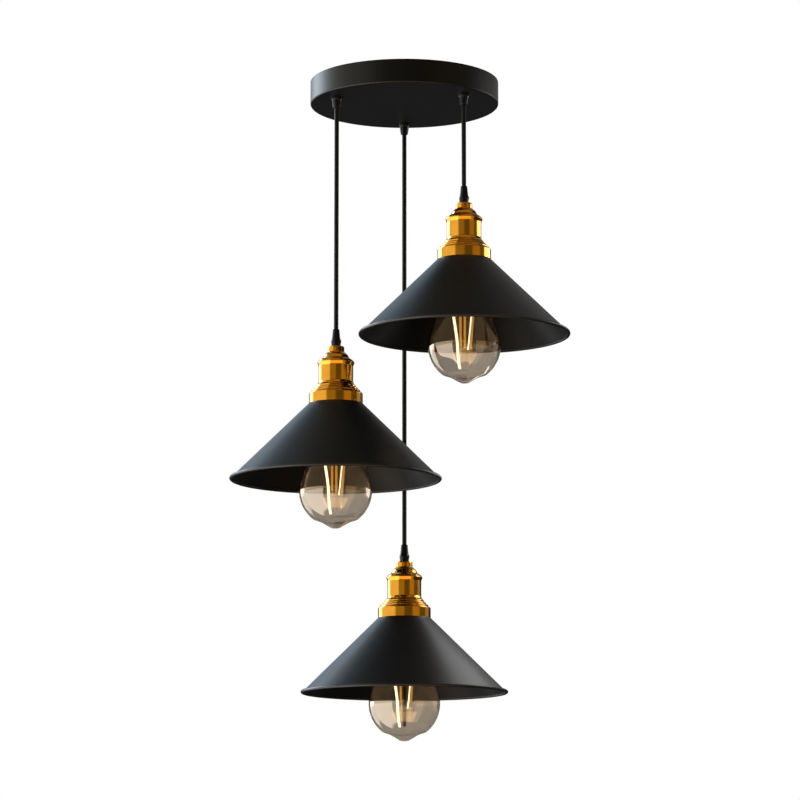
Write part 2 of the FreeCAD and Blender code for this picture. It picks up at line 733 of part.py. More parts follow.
def ceiling_bracket():
    """Steel strap with two slots, and an ear at each end for a side screw."""
    bend = 2.0
    section = [
        (-EAR_X, 0, bend), (EAR_X, 0, bend),
        (EAR_X, -EAR_DROP), (EAR_X - STRAP_T, -EAR_DROP),
        (EAR_X - STRAP_T, -STRAP_T, bend - STRAP_T), (-EAR_X + STRAP_T, -STRAP_T, bend - STRAP_T),
        (-EAR_X + STRAP_T, -EAR_DROP), (-EAR_X, -EAR_DROP)]
    strap = Part.Face(outline(section)).extrude(Vector(0, STRAP_W, 0))
    strap.translate(Vector(0, -STRAP_W / 2, 0))
    half_run = SLOT_L / 2 - SLOT_R
    for side in (-1, 1):
        middle = side * SLOT_SPACING / 2
        slot = box(middle - half_run, middle + half_run, -SLOT_R, SLOT_R, -STRAP_T - 1, 1)
        for end in (middle - half_run, middle + half_run):
            slot = slot.fuse(disc(SLOT_R, -STRAP_T - 1, 1, end, 0))
        strap = strap.cut(slot)
        strap = strap.cut(side_bar(side, EAR_X - STRAP_T - 1, EAR_X + 1, SIDE_SCREW_R + THREAD_FIT))
    for x in block_screw_places():
        strap = strap.cut(disc(SCREW_R + THREAD_FIT, -STRAP_T - 1, 1, x, 0))
    return strap


def side_screws():
    """Headless screws, flush with the canopy's side, with a hexagon socket."""
    screws = []
    for side in (-1, 1):
        face = CANOPY_R - 0.1
        screw = side_bar(side, face - SIDE_SCREW_L, face, SIDE_SCREW_R)
        socket = hexagon(HEX_SOCKET_ACROSS, 0, HEX_SOCKET_DEPTH + 1)
        socket.rotate(Vector(0, 0, 0), Vector(0, 1, 0), 90 * side)
        socket.translate(Vector(side * (face - HEX_SOCKET_DEPTH), 0, -SIDE_SCREW_DROP))
        screws.append(screw.cut(socket))
    return screws


def block_screw_places():
    """Places along X of the block's two fixing screws: through the earth pillar, and beyond it."""
    return WAYS["earth"], WAYS["earth"] + BLOCK_SCREW_OFFSET


def terminal_block():
    """Insulating block under the strap, with a pillar and four openings for each way."""
    end = WAY_PITCH + BLOCK_END
    block = box(-end, end, -BLOCK_W / 2, BLOCK_W / 2, BLOCK_LOW, -STRAP_T)
    for x in WAYS.values():
        way = Vector(x, 0, PILLAR_Z)
        block = block.cut(bar(way - Vector(0, PILLAR_L / 2 + THREAD_FIT, 0),
                              way + Vector(0, PILLAR_L / 2 + THREAD_FIT, 0), PILLAR_R + THREAD_FIT))
        block = block.cut(bar(way - Vector(0, BLOCK_W, 0), way + Vector(0, BLOCK_W, 0), ENTRY_R))
        for side in (-1, 1):
            y = side * TERMINAL_SCREW_Y
            block = block.cut(disc(SCREW_HEAD_R + LOOSE_FIT, BLOCK_LOW - 1, PILLAR_Z, x, y))
    for x in block_screw_places():
        block = block.cut(disc(SCREW_R + LOOSE_FIT / 2, BLOCK_LOW - 1, 0, x, 0))
    return block


def terminal_pillars():
    """Brass pillars, bored from both ends up to a stop; the earth one takes a fixing screw."""
    pillars = []
    for name, x in WAYS.items():
        way = Vector(x, 0, PILLAR_Z)
        pillar = bar(way - Vector(0, PILLAR_L / 2, 0), way + Vector(0, PILLAR_L / 2, 0), PILLAR_R)
        for side in (-1, 1):
            pillar = pillar.cut(bar(way + Vector(0, side * WIRE_STOP_L / 2, 0),
                                    way + Vector(0, side * PILLAR_L, 0), WIRE_BORE_R))
            pillar = pillar.cut(disc(SCREW_R + THREAD_FIT, BLOCK_LOW, PILLAR_Z, x, side * TERMINAL_SCREW_Y))
        if name == "earth":
            pillar = pillar.cut(disc(SCREW_R + THREAD_FIT, BLOCK_LOW, 0, x, 0))
        pillars.append(pillar)
    return pillars


def screw(x, y, tip, length):
    """Slotted cheese-head screw that points up, with its tip at a given height."""
    seat = tip - length
    shank = disc(SCREW_R, seat, tip, x, y)
    head = disc(SCREW_HEAD_R, seat - SCREW_HEAD_H, seat, x, y)
    slot = box(x - SCREW_HEAD_R - 1, x + SCREW_HEAD_R + 1, y - SCREW_SLOT_W / 2, y + SCREW_SLOT_W / 2,
               seat - SCREW_HEAD_H - 1, seat - SCREW_HEAD_H + SCREW_SLOT_DEPTH)
    return shank.fuse(head).removeSplitter().cut(slot)


def terminal_screws():
    """Six clamping screws, the mains side's backed off, and the block's two fixing screws."""
    clamped_tip = PILLAR_Z - CORE_TWIST_R / 2 - CONDUCTOR_R - THREAD_FIT
    open_tip = PILLAR_Z - WIRE_BORE_R - LOOSE_FIT / 3
    screws = []
    for x in WAYS.values():
        screws.append(screw(x, -TERMINAL_SCREW_Y, clamped_tip, TERMINAL_SCREW_L))
        screws.append(screw(x, TERMINAL_SCREW_Y, open_tip, TERMINAL_SCREW_L))
    for x in block_screw_places():
        screws.append(screw(x, 0, -LOOSE_FIT, BLOCK_H + STRAP_T - LOOSE_FIT))
    return screws


# Wires in the canopy. Each pendant's wires have a level of their own where they cross the others',
# and the middle wire of the three runs one step lower than the other two.
LEVELS = {"left": -4.0, "right": -9.0, "back": -13.6}
LEVEL_STEP = 2.1
LANES = {"near": -22.0, "middle": -25.0, "far": -28.0}
BACK_LANES = {"near": -20.0, "middle": -23.0, "far": -26.0}
FAN_REACH = 26.0
WIRE_BEND_R = 3.0
PLACES_IN_PILLAR = {"left": 90, "right": -30, "back": 210}


def canopy_wires():
    """Lists of the live, neutral and earth wires, each from its cord's end to its pillar."""
    wires = {"live": [], "neutral": [], "earth": []}
    for pendant, x, y, length in pendant_places():
        for function, way_x in WAYS.items():
            wires[function].append(canopy_wire(pendant, x, y, function, way_x))
    return wires


def canopy_wire(pendant, x, y, function, way_x):
    """One wire: up from the cord's sheath, over to its lane, along it and into its pillar."""
    first_reached = "live" if pendant == "right" else "earth"
    lane = "middle" if function == "neutral" else ("near" if function == first_reached else "far")
    level = LEVELS[pendant] - (LEVEL_STEP if lane == "middle" else 0)
    if pendant == "back":
        turns = {name: Vector(BACK_LANES[name], y - FAN_REACH, level) for name in LANES}
    else:
        reach_x = x - math.copysign(FAN_REACH, x)
        turns = {name: Vector(reach_x, LANES[name], level) for name in LANES}
    side = -1 if pendant == "right" else 1
    heading = math.atan2(turns["middle"].y - y, turns["middle"].x - x)
    core = heading + math.radians({"near": 120, "middle": 0, "far": -120}[lane] * side)
    start = Vector(x + CORE_TWIST_R * math.cos(core), y + CORE_TWIST_R * math.sin(core), SHEATH_TOP)
    place = math.radians(PLACES_IN_PILLAR[pendant])
    hole = Vector(way_x + CORE_TWIST_R * math.cos(place), 0, PILLAR_Z + CORE_TWIST_R * math.sin(place))
    route = [start, Vector(start.x, start.y, level), turns[lane]]
    if pendant == "back":
        route.append(Vector(BACK_LANES[lane], LANES[lane], level))
    face = -BLOCK_W / 2 - LOOSE_FIT
    route.append(Vector(hole.x, LANES[lane], level))
    route.append(Vector(hole.x, face - 8.2, level))
    route.append(Vector(hole.x, face - 3.7, hole.z))
    route.append(Vector(hole.x, face, hole.z))
    conductor_end = -WIRE_STOP_L / 2 - 1.0
    conductor = bar(Vector(hole.x, face - 1, hole.z), Vector(hole.x, conductor_end, hole.z), CONDUCTOR_R)
    return wire_tube(route, CORE_R, WIRE_BEND_R).fuse(conductor)


def moved(shape, x, y, z):
    copy = shape.copy()
    copy.translate(Vector(x, y, z))
    return copy


def save_canopy():
    """Everything that stays with the ceiling."""
    places = list(pendant_places())
    sheath = disc(CORD_R, CORD_PIVOT + CORD_CLEAR, SHEATH_TOP)
    save("canopy", canopy())
    save("ceiling_bracket", ceiling_bracket())
    save("canopy_side_screws", *side_screws())
    save("terminal_block", terminal_block())
    save("terminal_pillars", *terminal_pillars())
    save("terminal_screws", *terminal_screws())
    save("canopy_cord_grips", *[moved(canopy_grip(), x, y, 0) for name, x, y, length in places])
    save("canopy_locknuts", *[moved(locknut(), x, y, 0) for name, x, y, length in places])
    save("canopy_cord_ends", *[moved(sheath, x, y, 0) for name, x, y, length in places])
    for function, solids in canopy_wires().items():
        save(function + "_wires", *solids)


def save_pendants():
    """One cord, holder, shade and bulb for each pendant."""
    pieces = {
        "cord_grip": [holder_grip()],
        "holder_cap": [holder_cap()],
        "holder_body": [holder_body()],
        "shade_collar": [shade_collar()],
        "shade_ring": [shade_ring()],
        "socket_core": [socket_core()],
        "screw_shell": [screw_shell()],
        "socket_contacts": socket_contacts(),
        "cord_end": holder_cord_end(),
        "shade": [shade()],
        "bulb_glass": [bulb_glass()],
        "bulb_cap": bulb_cap(),
        "bulb_insulator": [bulb_insulator()],
        "bulb_filaments": bulb_filaments()}
    for name, x, y, length in pendant_places():
        rim = CORD_PIVOT - length - LAMP_PIVOT
        print(name, "at", round(x, 2), round(y, 2), "rim height", round(rim, 2))
        save(name + "_cord", moved(cord(length), x, y, CORD_PIVOT))
        for piece, solids in pieces.items():
            save(name + "_" + piece, *[moved(solid, x, y, rim) for solid in solids])
        save(name + "_bulb_stem", moved(bulb_stem(name == "back"), x, y, rim))


os.makedirs("parts", exist_ok=True)
save_canopy()
save_pendants()
print("swing pivots at height", round(CORD_PIVOT, 2), "tilt pivots", round(LAMP_PIVOT, 2), "above each rim")
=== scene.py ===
# %% [markdown]
# # A pendant lamp with three cone shades
# The lamp hangs from the ceiling: a round black canopy, three black cords, and on each cord a brass
# lamp holder, a black cone shade and an amber bulb. The CAD model already says where every piece is,
# so we load it first and then make finer pieces in its place, in the same metres and the same axes.

import json
import math
import bmesh
import bpy
from mathutils import Matrix, Vector

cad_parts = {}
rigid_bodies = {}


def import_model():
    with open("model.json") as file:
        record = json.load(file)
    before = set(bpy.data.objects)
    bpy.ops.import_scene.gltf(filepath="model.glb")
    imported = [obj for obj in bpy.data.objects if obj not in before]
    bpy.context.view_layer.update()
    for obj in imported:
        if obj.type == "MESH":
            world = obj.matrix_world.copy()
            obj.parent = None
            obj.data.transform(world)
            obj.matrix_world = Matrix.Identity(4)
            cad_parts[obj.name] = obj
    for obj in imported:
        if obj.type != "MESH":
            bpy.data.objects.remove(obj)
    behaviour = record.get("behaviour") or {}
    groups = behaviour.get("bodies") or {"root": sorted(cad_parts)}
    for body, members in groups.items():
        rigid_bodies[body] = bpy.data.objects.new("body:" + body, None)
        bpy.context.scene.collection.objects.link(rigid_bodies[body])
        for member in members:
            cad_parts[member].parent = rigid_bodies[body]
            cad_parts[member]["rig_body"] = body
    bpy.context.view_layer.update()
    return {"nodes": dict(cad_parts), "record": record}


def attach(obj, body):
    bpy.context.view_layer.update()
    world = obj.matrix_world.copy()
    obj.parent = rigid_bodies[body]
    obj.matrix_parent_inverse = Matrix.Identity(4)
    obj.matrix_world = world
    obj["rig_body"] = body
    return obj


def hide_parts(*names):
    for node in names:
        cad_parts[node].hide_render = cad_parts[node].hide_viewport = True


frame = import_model()
scene = bpy.context.scene

# %% [markdown]
# ## Sizes
# Small pieces are easier to read in millimetres, so every outline below is written in millimetres and
# scaled once, when its mesh is finished. Heights on a lamp count up from the plane of its shade's rim.
# The three lamps are alike, so one set of outlines serves all three, and only their places differ.

# %% The places of the three pendants
MM = 0.001
HOLE_CIRCLE_R = 80.0
SWING_HEIGHT = -37.6
LAMP_PIVOT = 157.623
CORD_LENGTHS = {"left": 235.5, "right": 86.0, "back": 447.5}
HOLE_ANGLES = {"left": 207.0, "right": 321.0, "back": 90.0}


def pendant_place(name):
    """The rim's centre of one pendant, in millimetres."""
    turn = math.radians(HOLE_ANGLES[name])
    rim = SWING_HEIGHT - CORD_LENGTHS[name] - LAMP_PIVOT
    return Vector((HOLE_CIRCLE_R * math.cos(turn), HOLE_CIRCLE_R * math.sin(turn), rim))


PENDANTS = {name: pendant_place(name) for name in CORD_LENGTHS}
for name, place in PENDANTS.items():
    print(name, "rim centre in mm", [round(value, 1) for value in place])

# %% [markdown]
# ## The camera
# The photograph was taken from a long way off with a long lens, a little below the canopy and tilted
# up, so that we see the canopy's underside and just under each shade's rim. A long lens keeps the
# three lamps at nearly the same scale.

# %% Camera
CAMERA_PLACE = Vector((-4.66, -3477.8, -905.0)) * MM
CAMERA_TILT = 9.19
FOCAL_PIXELS = 3356.0
IMAGE_PIXELS = 800.0
SENSOR_MM = 36.0

camera_data = bpy.data.cameras.new("camera")
camera_data.sensor_width = SENSOR_MM
camera_data.lens = FOCAL_PIXELS / IMAGE_PIXELS * SENSOR_MM
camera_data.clip_end = 100.0
camera = bpy.data.objects.new("camera", camera_data)
camera.location = CAMERA_PLACE
camera.rotation_euler = (math.radians(90 + CAMERA_TILT), 0, 0)
scene.collection.objects.link(camera)
scene.camera = camera
print("lens in mm", round(camera_data.lens, 1))

# %% [markdown]
# ## Making materials with nodes
# A material is a small graph: texture nodes feed a shader. Each helper below adds one node, so that a
# finish reads as a short recipe. Patterns read Object coordinates: these pieces sit at the origin with
# their place in their mesh, so object coordinates are metres in the room, at a size we can reason about.

# %% Helpers for material nodes
def new_finish(name):
    """An empty material with its node tree and its shader."""
    material = bpy.data.materials.new(name)
    material.use_nodes = True
    tree = material.node_tree
    tree.nodes.clear()
    output = tree.nodes.new("ShaderNodeOutputMaterial")
    shader = tree.nodes.new("ShaderNodeBsdfPrincipled")
    tree.links.new(shader.outputs["BSDF"], output.inputs["Surface"])
    return material, tree, shader


def set_values(shader, **values):
    """Set a shader's own sockets; an underscore in a name stands for a space."""
    for key, value in values.items():
        shader.inputs[key.replace("_", " ")].default_value = value


def object_noise(tree, scale, detail=4.0, stretch=(1, 1, 1), distortion=0.0):
    """Noise in object space; stretch scales each axis on its own."""
    place = tree.nodes.new("ShaderNodeTexCoord")
    mapping = tree.nodes.new("ShaderNodeMapping")
    mapping.inputs["Scale"].default_value = stretch
    noise = tree.nodes.new("ShaderNodeTexNoise")
    noise.inputs["Scale"].default_value = scale
    noise.inputs["Detail"].default_value = detail
    noise.inputs["Distortion"].default_value = distortion
    tree.links.new(place.outputs["Object"], mapping.inputs["Vector"])
    tree.links.new(mapping.outputs["Vector"], noise.inputs["Vector"])
    return noise.outputs["Fac"]


def uneven_gloss(tree, shader, pattern, low, high, start=0.3, end=0.7):
    """Roughness from low to high, where a 0 to 1 pattern goes from start to end."""
    span = tree.nodes.new("ShaderNodeMapRange")
    span.inputs["From Min"].default_value = start
    span.inputs["From Max"].default_value = end
    span.inputs["To Min"].default_value = low
    span.inputs["To Max"].default_value = high
    tree.links.new(pattern, span.inputs["Value"])
    tree.links.new(span.outputs["Result"], shader.inputs["Roughness"])


def two_tones(tree, shader, pattern, dark, light, start=0.35, end=0.65):
    """Base colour from dark to light, where a 0 to 1 pattern goes from start to end."""
    ramp = tree.nodes.new("ShaderNodeValToRGB")
    low, high = ramp.color_ramp.elements
    low.position, low.color = start, (*dark, 1.0)
    high.position, high.color = end, (*light, 1.0)
    tree.links.new(pattern, ramp.inputs["Fac"])
    tree.links.new(ramp.outputs["Color"], shader.inputs["Base Color"])


def bump(tree, shader, height, distance, strength=1.0):
    """Small relief for a shader; distance is its real depth in metres."""
    node = tree.nodes.new("ShaderNodeBump")
    node.inputs["Distance"].default_value = distance
    node.inputs["Strength"].default_value = strength
    tree.links.new(height, node.inputs["Height"])
    tree.links.new(node.outputs["Normal"], shader.inputs["Normal"])


print("materials before ours", len(bpy.data.materials))

# %% [markdown]
# ## Black powder coat
# The canopy and the shades are steel with a satin black coat. Real powder coat is never quite flat: it
# has a fine orange peel that breaks up the gloss, and a few patches that are a touch more or less
# glossy. Two noises do that, a fine one for relief and a coarse one for roughness. A shade's inside
# gets a copy of the coat that mirrors less and with a warm tint, which paints shade and warm light into
# it. The canopy's side gets one that mirrors less face on, which paints shade on its wall.

# %% Black powder coat
def powder_coat(name, shine, gleam):
    """Satin black coat: shine is how much it mirrors, gleam the colour of what it mirrors face on."""
    material, tree, shader = new_finish(name)
    tint = object_noise(tree, 9.0, detail=3.0)
    two_tones(tree, shader, tint, (0.0015, 0.0015, 0.0017), (0.0022, 0.0022, 0.0025), start=0.3, end=0.7)
    gloss = object_noise(tree, 28.0, detail=5.0)
    uneven_gloss(tree, shader, gloss, 0.36, 0.42, start=0.0, end=1.0)
    set_values(shader, Specular_IOR_Level=shine, Specular_Tint=(*gleam, 1.0))
    bump(tree, shader, object_noise(tree, 1400.0, detail=2.0), 0.00004, 0.35)
    return material


black_coat = powder_coat("black_powder_coat", shine=0.5, gleam=(1.0, 1.0, 1.0))
# The shade's inside: the lower shine is painted shade, and the warm gleam is painted warm light.
inside_coat_painted_shade = powder_coat("black_inside_coat_painted_shade", shine=0.2, gleam=(1.0, 0.86, 0.66))
# The canopy's wall: a grey gleam, which paints shade where the wall is seen face on.
canopy_side_coat_painted_shade = powder_coat("black_canopy_side_coat_painted_shade", shine=0.5, gleam=(0.38, 0.38, 0.38))
print("finishes", black_coat.name, inside_coat_painted_shade.name, canopy_side_coat_painted_shade.name)

# %% [markdown]
# ## Polished brass
# The holders are turned on a lathe, polished and lacquered. The lathe leaves very fine rings, which
# only vary with height, so a noise that is stretched flat along X and Y draws them. Broad, weak
# variation in colour and roughness stands for the handling marks under the lacquer.

# %% Polished brass
def polished_brass(name, base, deep, rough_low, rough_high, lacquer):
    """Brass with turning rings, in two tones, under a share of clear lacquer."""
    material, tree, shader = new_finish(name)
    tint = object_noise(tree, 55.0, detail=4.0)
    two_tones(tree, shader, tint, deep, base, start=0.32, end=0.62)
    smears = object_noise(tree, 120.0, detail=6.0, stretch=(1, 1, 2.5))
    uneven_gloss(tree, shader, smears, rough_low, rough_high)
    set_values(shader, Metallic=1.0, Coat_Weight=lacquer, Coat_IOR=1.42, Coat_Roughness=0.06)
    rings = object_noise(tree, 60.0, detail=3.0, stretch=(0.4, 0.4, 60.0))
    bump(tree, shader, rings, 0.00001, 0.06)
    return material


brass = polished_brass("polished_brass", base=(0.67, 0.31, 0.024), deep=(0.61, 0.27, 0.014),
                       rough_low=0.12, rough_high=0.18, lacquer=0.5)
plain_brass = polished_brass("plain_brass", base=(0.62, 0.4, 0.15), deep=(0.5, 0.3, 0.1),
                             rough_low=0.24, rough_high=0.36, lacquer=0.0)
print("finishes", brass.name, plain_brass.name)

# %% [markdown]
# ## Black plastics
# The cord's sheath is extruded: smooth, with a soft shine and faint lengthwise drag lines. The cord
# grips are moulded nylon, a little glossier, with a faint texture from the mould.

# %% Black plastics
def black_plastic(name, tone, rough_low, rough_high, stretch, grain, depth):
    """Black plastic whose grain runs the way that stretch says; depth is its relief in metres."""
    material, tree, shader = new_finish(name)
    tint = object_noise(tree, 70.0, detail=3.0, stretch=stretch)
    darker = tuple(value * 0.75 for value in tone)
    two_tones(tree, shader, tint, darker, tone)
    gloss = object_noise(tree, 160.0, detail=4.0, stretch=stretch)
    uneven_gloss(tree, shader, gloss, rough_low, rough_high)
    set_values(shader, Specular_IOR_Level=0.2)
    bump(tree, shader, object_noise(tree, grain, detail=3.0, stretch=stretch), depth, 0.3)
    return material


LENGTHWISE = (1, 1, 0.04)
EVENLY = (1, 1, 1)
cord_black = black_plastic("cord_sheath_black", (0.003, 0.0038, 0.0043), rough_low=0.34, rough_high=0.42,
                           stretch=LENGTHWISE, grain=600.0, depth=0.000003)
grip_black = black_plastic("grip_nylon_black", (0.003, 0.0034, 0.0038), rough_low=0.2, rough_high=0.3,
                           stretch=EVENLY, grain=700.0, depth=0.000008)
print("finishes", cord_black.name, grip_black.name)

# %% [markdown]
# ## Finishes of the small pieces
# Zinc-plated steel has a cool grey, slightly cloudy look. Porcelain is white clay under a clear glaze,
# and its glaze pools a little unevenly. The wires' plastic has the three safety colours, with yellow
# bands on the green one. The light strips are a yellow coat that glows cream where they are on; where
# they are off, the coat is dull amber with a weak painted glow.

# %% Metal, porcelain, plastic and light strips
def cloudy_metal(name, light_tone, dark_tone, rough_low, rough_high):
    """Metal whose tone and roughness drift together in soft clouds."""
    material, tree, shader = new_finish(name)
    clouds = object_noise(tree, 260.0, detail=5.0, distortion=0.6)
    two_tones(tree, shader, clouds, dark_tone, light_tone)
    uneven_gloss(tree, shader, clouds, rough_low, rough_high)
    set_values(shader, Metallic=1.0)
    bump(tree, shader, object_noise(tree, 900.0), 0.00002, 0.3)
    return material


def even_coat(name, light_tone, dark_tone, roughness, glaze=0.0):
    """An even surface with a faint drift in tone and roughness, and a glaze on top if it has one."""
    material, tree, shader = new_finish(name)
    tint = object_noise(tree, 90.0, detail=3.0)
    two_tones(tree, shader, tint, dark_tone, light_tone)
    gloss = object_noise(tree, 180.0)
    uneven_gloss(tree, shader, gloss, roughness * 0.85, roughness * 1.15)
    set_values(shader, Coat_Weight=glaze, Coat_Roughness=0.06)
    bump(tree, shader, object_noise(tree, 700.0), 0.00002, 0.25)
    return material


def banded_wire():
    """Green plastic with slanted yellow bands."""
    material, tree, shader = new_finish("green_yellow_wire")
    place = tree.nodes.new("ShaderNodeTexCoord")
    bands = tree.nodes.new("ShaderNodeTexWave")
    bands.bands_direction = "DIAGONAL"
    bands.inputs["Scale"].default_value = 40.0
    bands.inputs["Distortion"].default_value = 0.4
    tree.links.new(place.outputs["Object"], bands.inputs["Vector"])
    two_tones(tree, shader, bands.outputs["Fac"], (0.04, 0.22, 0.05), (0.75, 0.6, 0.04), 0.48, 0.52)
    uneven_gloss(tree, shader, object_noise(tree, 150.0), 0.32, 0.42)
    return material


def glowing_coat(name, tone, glow, strength):
    """Yellow coat of a light strip, with the fine grain of its powder; its glow is the strip's own light
    where it is on and a painted glow where it is off.
    """
    material, tree, shader = new_finish(name)
    grain = object_noise(tree, 900.0, detail=3.0)
    darker = tuple(value * 0.8 for value in tone)
    two_tones(tree, shader, grain, darker, tone)
    set_values(shader, Roughness=0.55, Emission_Color=(*glow, 1.0), Emission_Strength=strength)
    return material


zinc = cloudy_metal("zinc_plated_steel", (0.62, 0.64, 0.66), (0.5, 0.52, 0.55), 0.28, 0.42)
dark_steel = cloudy_metal("blackened_steel", (0.09, 0.09, 0.1), (0.05, 0.05, 0.055), 0.3, 0.45)
nickel = cloudy_metal("nickel_wire", (0.62, 0.58, 0.52), (0.52, 0.48, 0.42), 0.2, 0.3)
porcelain = even_coat("glazed_porcelain", (0.82, 0.81, 0.78), (0.76, 0.75, 0.71), 0.3, glaze=0.6)
white_plastic = even_coat("natural_polyamide", (0.78, 0.77, 0.72), (0.72, 0.71, 0.66), 0.42)
brown_wire = even_coat("brown_wire", (0.16, 0.06, 0.025), (0.12, 0.045, 0.02), 0.36)
blue_wire = even_coat("blue_wire", (0.03, 0.12, 0.42), (0.022, 0.09, 0.34), 0.36)
green_wire = banded_wire()
black_glass = even_coat("black_bead_glass", (0.012, 0.012, 0.014), (0.008, 0.008, 0.01), 0.12)
smoked_rod = even_coat("smoked_rod", (0.012, 0.008, 0.004), (0.008, 0.005, 0.003), 0.3)
lit_strip = glowing_coat("lit_strip", (0.9, 0.75, 0.4), (1.0, 0.86, 0.6), 3.4)
# The strips that are off get a weak amber emission: a painted glow.
dull_strip_painted_glow = glowing_coat("dull_strip_painted_glow", (0.75, 0.42, 0.08), (1.0, 0.5, 0.1), 0.62)
print("finishes so far", len(bpy.data.materials))

# %% [markdown]
# ## The free cords
# Each cord is a slim round three-core flex, 4.8 mm thick, and the lamp's weight pulls it straight. Its
# line is a NURBS curve through a few points on the plumb line, from inside the canopy's grip to inside
# the holder's grip. The curve's bevel gives the thickness, so line and thickness are easy to change. The
# light strips in the bulbs will be made the same way, so two helpers serve both.

# %% The three cords
CORD_R = 2.4
CORD_POINTS = 7
CORD_INSIDE = 1.6


def new_curve(name, finish, radius, round_steps, length_steps):
    """An empty curve whose bevel makes it round; the radius is in millimetres."""
    line = bpy.data.curves.new(name, "CURVE")
    line.dimensions = "3D"
    line.bevel_depth = radius * MM
    line.bevel_resolution = round_steps
    line.resolution_u = length_steps
    line.use_fill_caps = True
    line.materials.append(finish)
    return line


def add_run(line, points, place, share=1.0, kind="NURBS"):
    """One run through points in millimetres, counted from a place; share scales its radius."""
    spline = line.splines.new(kind)
    spline.points.add(len(points) - 1)
    for point, spot in zip(spline.points, points):
        point.co = (*((Vector(spot) + place) * MM), 1.0)
        point.radius = share
    if kind == "NURBS":
        spline.order_u = 3
        spline.use_endpoint_u = True


def hanging_cord(name, place):
    """The free length of one cord, which runs a little way into both grips."""
    top = SWING_HEIGHT + CORD_INSIDE
    low = SWING_HEIGHT - CORD_LENGTHS[name] - CORD_INSIDE
    heights = [top + (low - top) * index / (CORD_POINTS - 1) for index in range(CORD_POINTS)]
    line = new_curve(name + "_flex", cord_black, CORD_R, round_steps=8, length_steps=8)
    add_run(line, [(0, 0, height) for height in heights], Vector((place.x, place.y, 0)))
    cord = bpy.data.objects.new(name + "_flex", line)
    scene.collection.objects.link(cord)
    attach(cord, name + "_hanging_cord")
    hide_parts(name + "_cord")


for name, place in PENDANTS.items():
    hanging_cord(name, place)
    print(name, "cord length in mm", CORD_LENGTHS[name])

# %% [markdown]
# ## Turning an outline
# Nearly every piece of this lamp is turned or spun, so its shape is an outline that goes round an axis.
# We put down the outline's corners, spin a point about a corner's centre where the corner is rounded,
# join the points, and spin the whole outline once round. Exact arcs matter here, because polished
# brass and glass show every kink in a reflection.

# %% Helpers that turn an outline into a mesh
MERGE_DISTANCE = 0.0005


def corner_points(points, index):
    """Start, centre and turn of a rounded corner, or only its point where it is sharp."""
    r, h, radius = (*points[index], 0)[:3]
    here = Vector((r, 0, h))
    if not radius:
        return here, None, 0
    neighbours = (points[index - 1], points[(index + 1) % len(points)])
    before, after = [(Vector((near[0], 0, near[1])) - here).normalized() for near in neighbours]
    half = before.angle(after) / 2
    start = here + before * radius / math.tan(half)
    centre = here + (before + after).normalized() * radius / math.sin(half)
    turn = math.pi - 2 * half
    if before.cross(after).y > 0:
        turn = -turn
    return start, centre, turn


def draw_outline(bm, points, closed=True, arc_step=6.0):
    """Edges of an outline of (radius, height, corner radius), in the XZ plane, in millimetres."""
    last, first = None, None
    for index in range(len(points)):
        start, centre, turn = corner_points(points, index)
        begin = bm.verts.new(start)
        end = begin
        if centre is not None:
            steps = max(2, math.ceil(abs(turn) / math.radians(arc_step)))
            ring = bmesh.ops.spin(bm, geom=[begin], cent=centre, axis=(0, 1, 0), angle=turn, steps=steps,
                                  use_duplicate=False)
            end = [item for item in ring["geom_last"] if isinstance(item, bmesh.types.BMVert)][0]
        if last is not None:
            bm.edges.new((last, begin))
        first = first or begin
        last = end
    if closed:
        bm.edges.new((last, first))


def spin_round(bm, steps):
    """Spin everything in the mesh once about the Z axis and close its poles."""
    bmesh.ops.spin(bm, geom=bm.verts[:] + bm.edges[:], cent=(0, 0, 0), axis=(0, 0, 1), angle=2 * math.pi,
                   steps=steps, use_merge=True, use_duplicate=False)
    bmesh.ops.remove_doubles(bm, verts=bm.verts[:], dist=MERGE_DISTANCE)
    bmesh.ops.recalc_face_normals(bm, faces=bm.faces[:])


def turned(points, steps=96):
    """A closed solid of revolution from one outline."""
    bm = bmesh.new()
    draw_outline(bm, points)
    spin_round(bm, steps)
    return bm


pin = turned([(0, 0), (1, 0), (1, 1), (0, 1)])
print("a turned pin has pi as its volume, nearly", round(pin.calc_volume(), 3))
pin.free()

# %% [markdown]
# ## From a mesh to a piece
# Every piece then goes the same way. Its round faces shade smoothly while its real edges stay crisp, it
# is scaled to metres, and it names its body and hides the CAD nodes that it stands for.

# %% Helpers that finish a piece
SHARP_ANGLE = math.radians(32.0)


def smooth_except_edges(bm):
    """Shade faces smooth, but keep real edges sharp."""
    for face in bm.faces:
        face.smooth = True
    for edge in bm.edges:
        edge.smooth = len(edge.link_faces) != 2 or edge.calc_face_angle(0) < SHARP_ANGLE


def as_mesh(bm):
    """A mesh with a copy of what a bmesh holds."""
    mesh = bpy.data.meshes.new("working")
    bm.to_mesh(mesh)
    return mesh


def add_shape(bm, shape):
    """Put a copy of one bmesh into another."""
    mesh = as_mesh(shape)
    bm.from_mesh(mesh)
    bpy.data.meshes.remove(mesh)


def keep_flats_flat(piece):
    """Let large faces decide the shading where they meet a fillet."""
    weighted = piece.modifiers.new("weighted", "WEIGHTED_NORMAL")
    weighted.mode = "FACE_AREA"
    weighted.weight = 60
    weighted.keep_sharp = True


def make_piece(name, bm, material, body, nodes, place=(0, 0, 0)):
    smooth_except_edges(bm)
    mesh = bpy.data.meshes.new(name)
    bm.to_mesh(mesh)
    mesh.transform(Matrix.Scale(MM, 4) @ Matrix.Translation(place))
    mesh.materials.append(material)
    piece = bpy.data.objects.new(name, mesh)
    scene.collection.objects.link(piece)
    keep_flats_flat(piece)
    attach(piece, body)
    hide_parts(*nodes)
    return piece


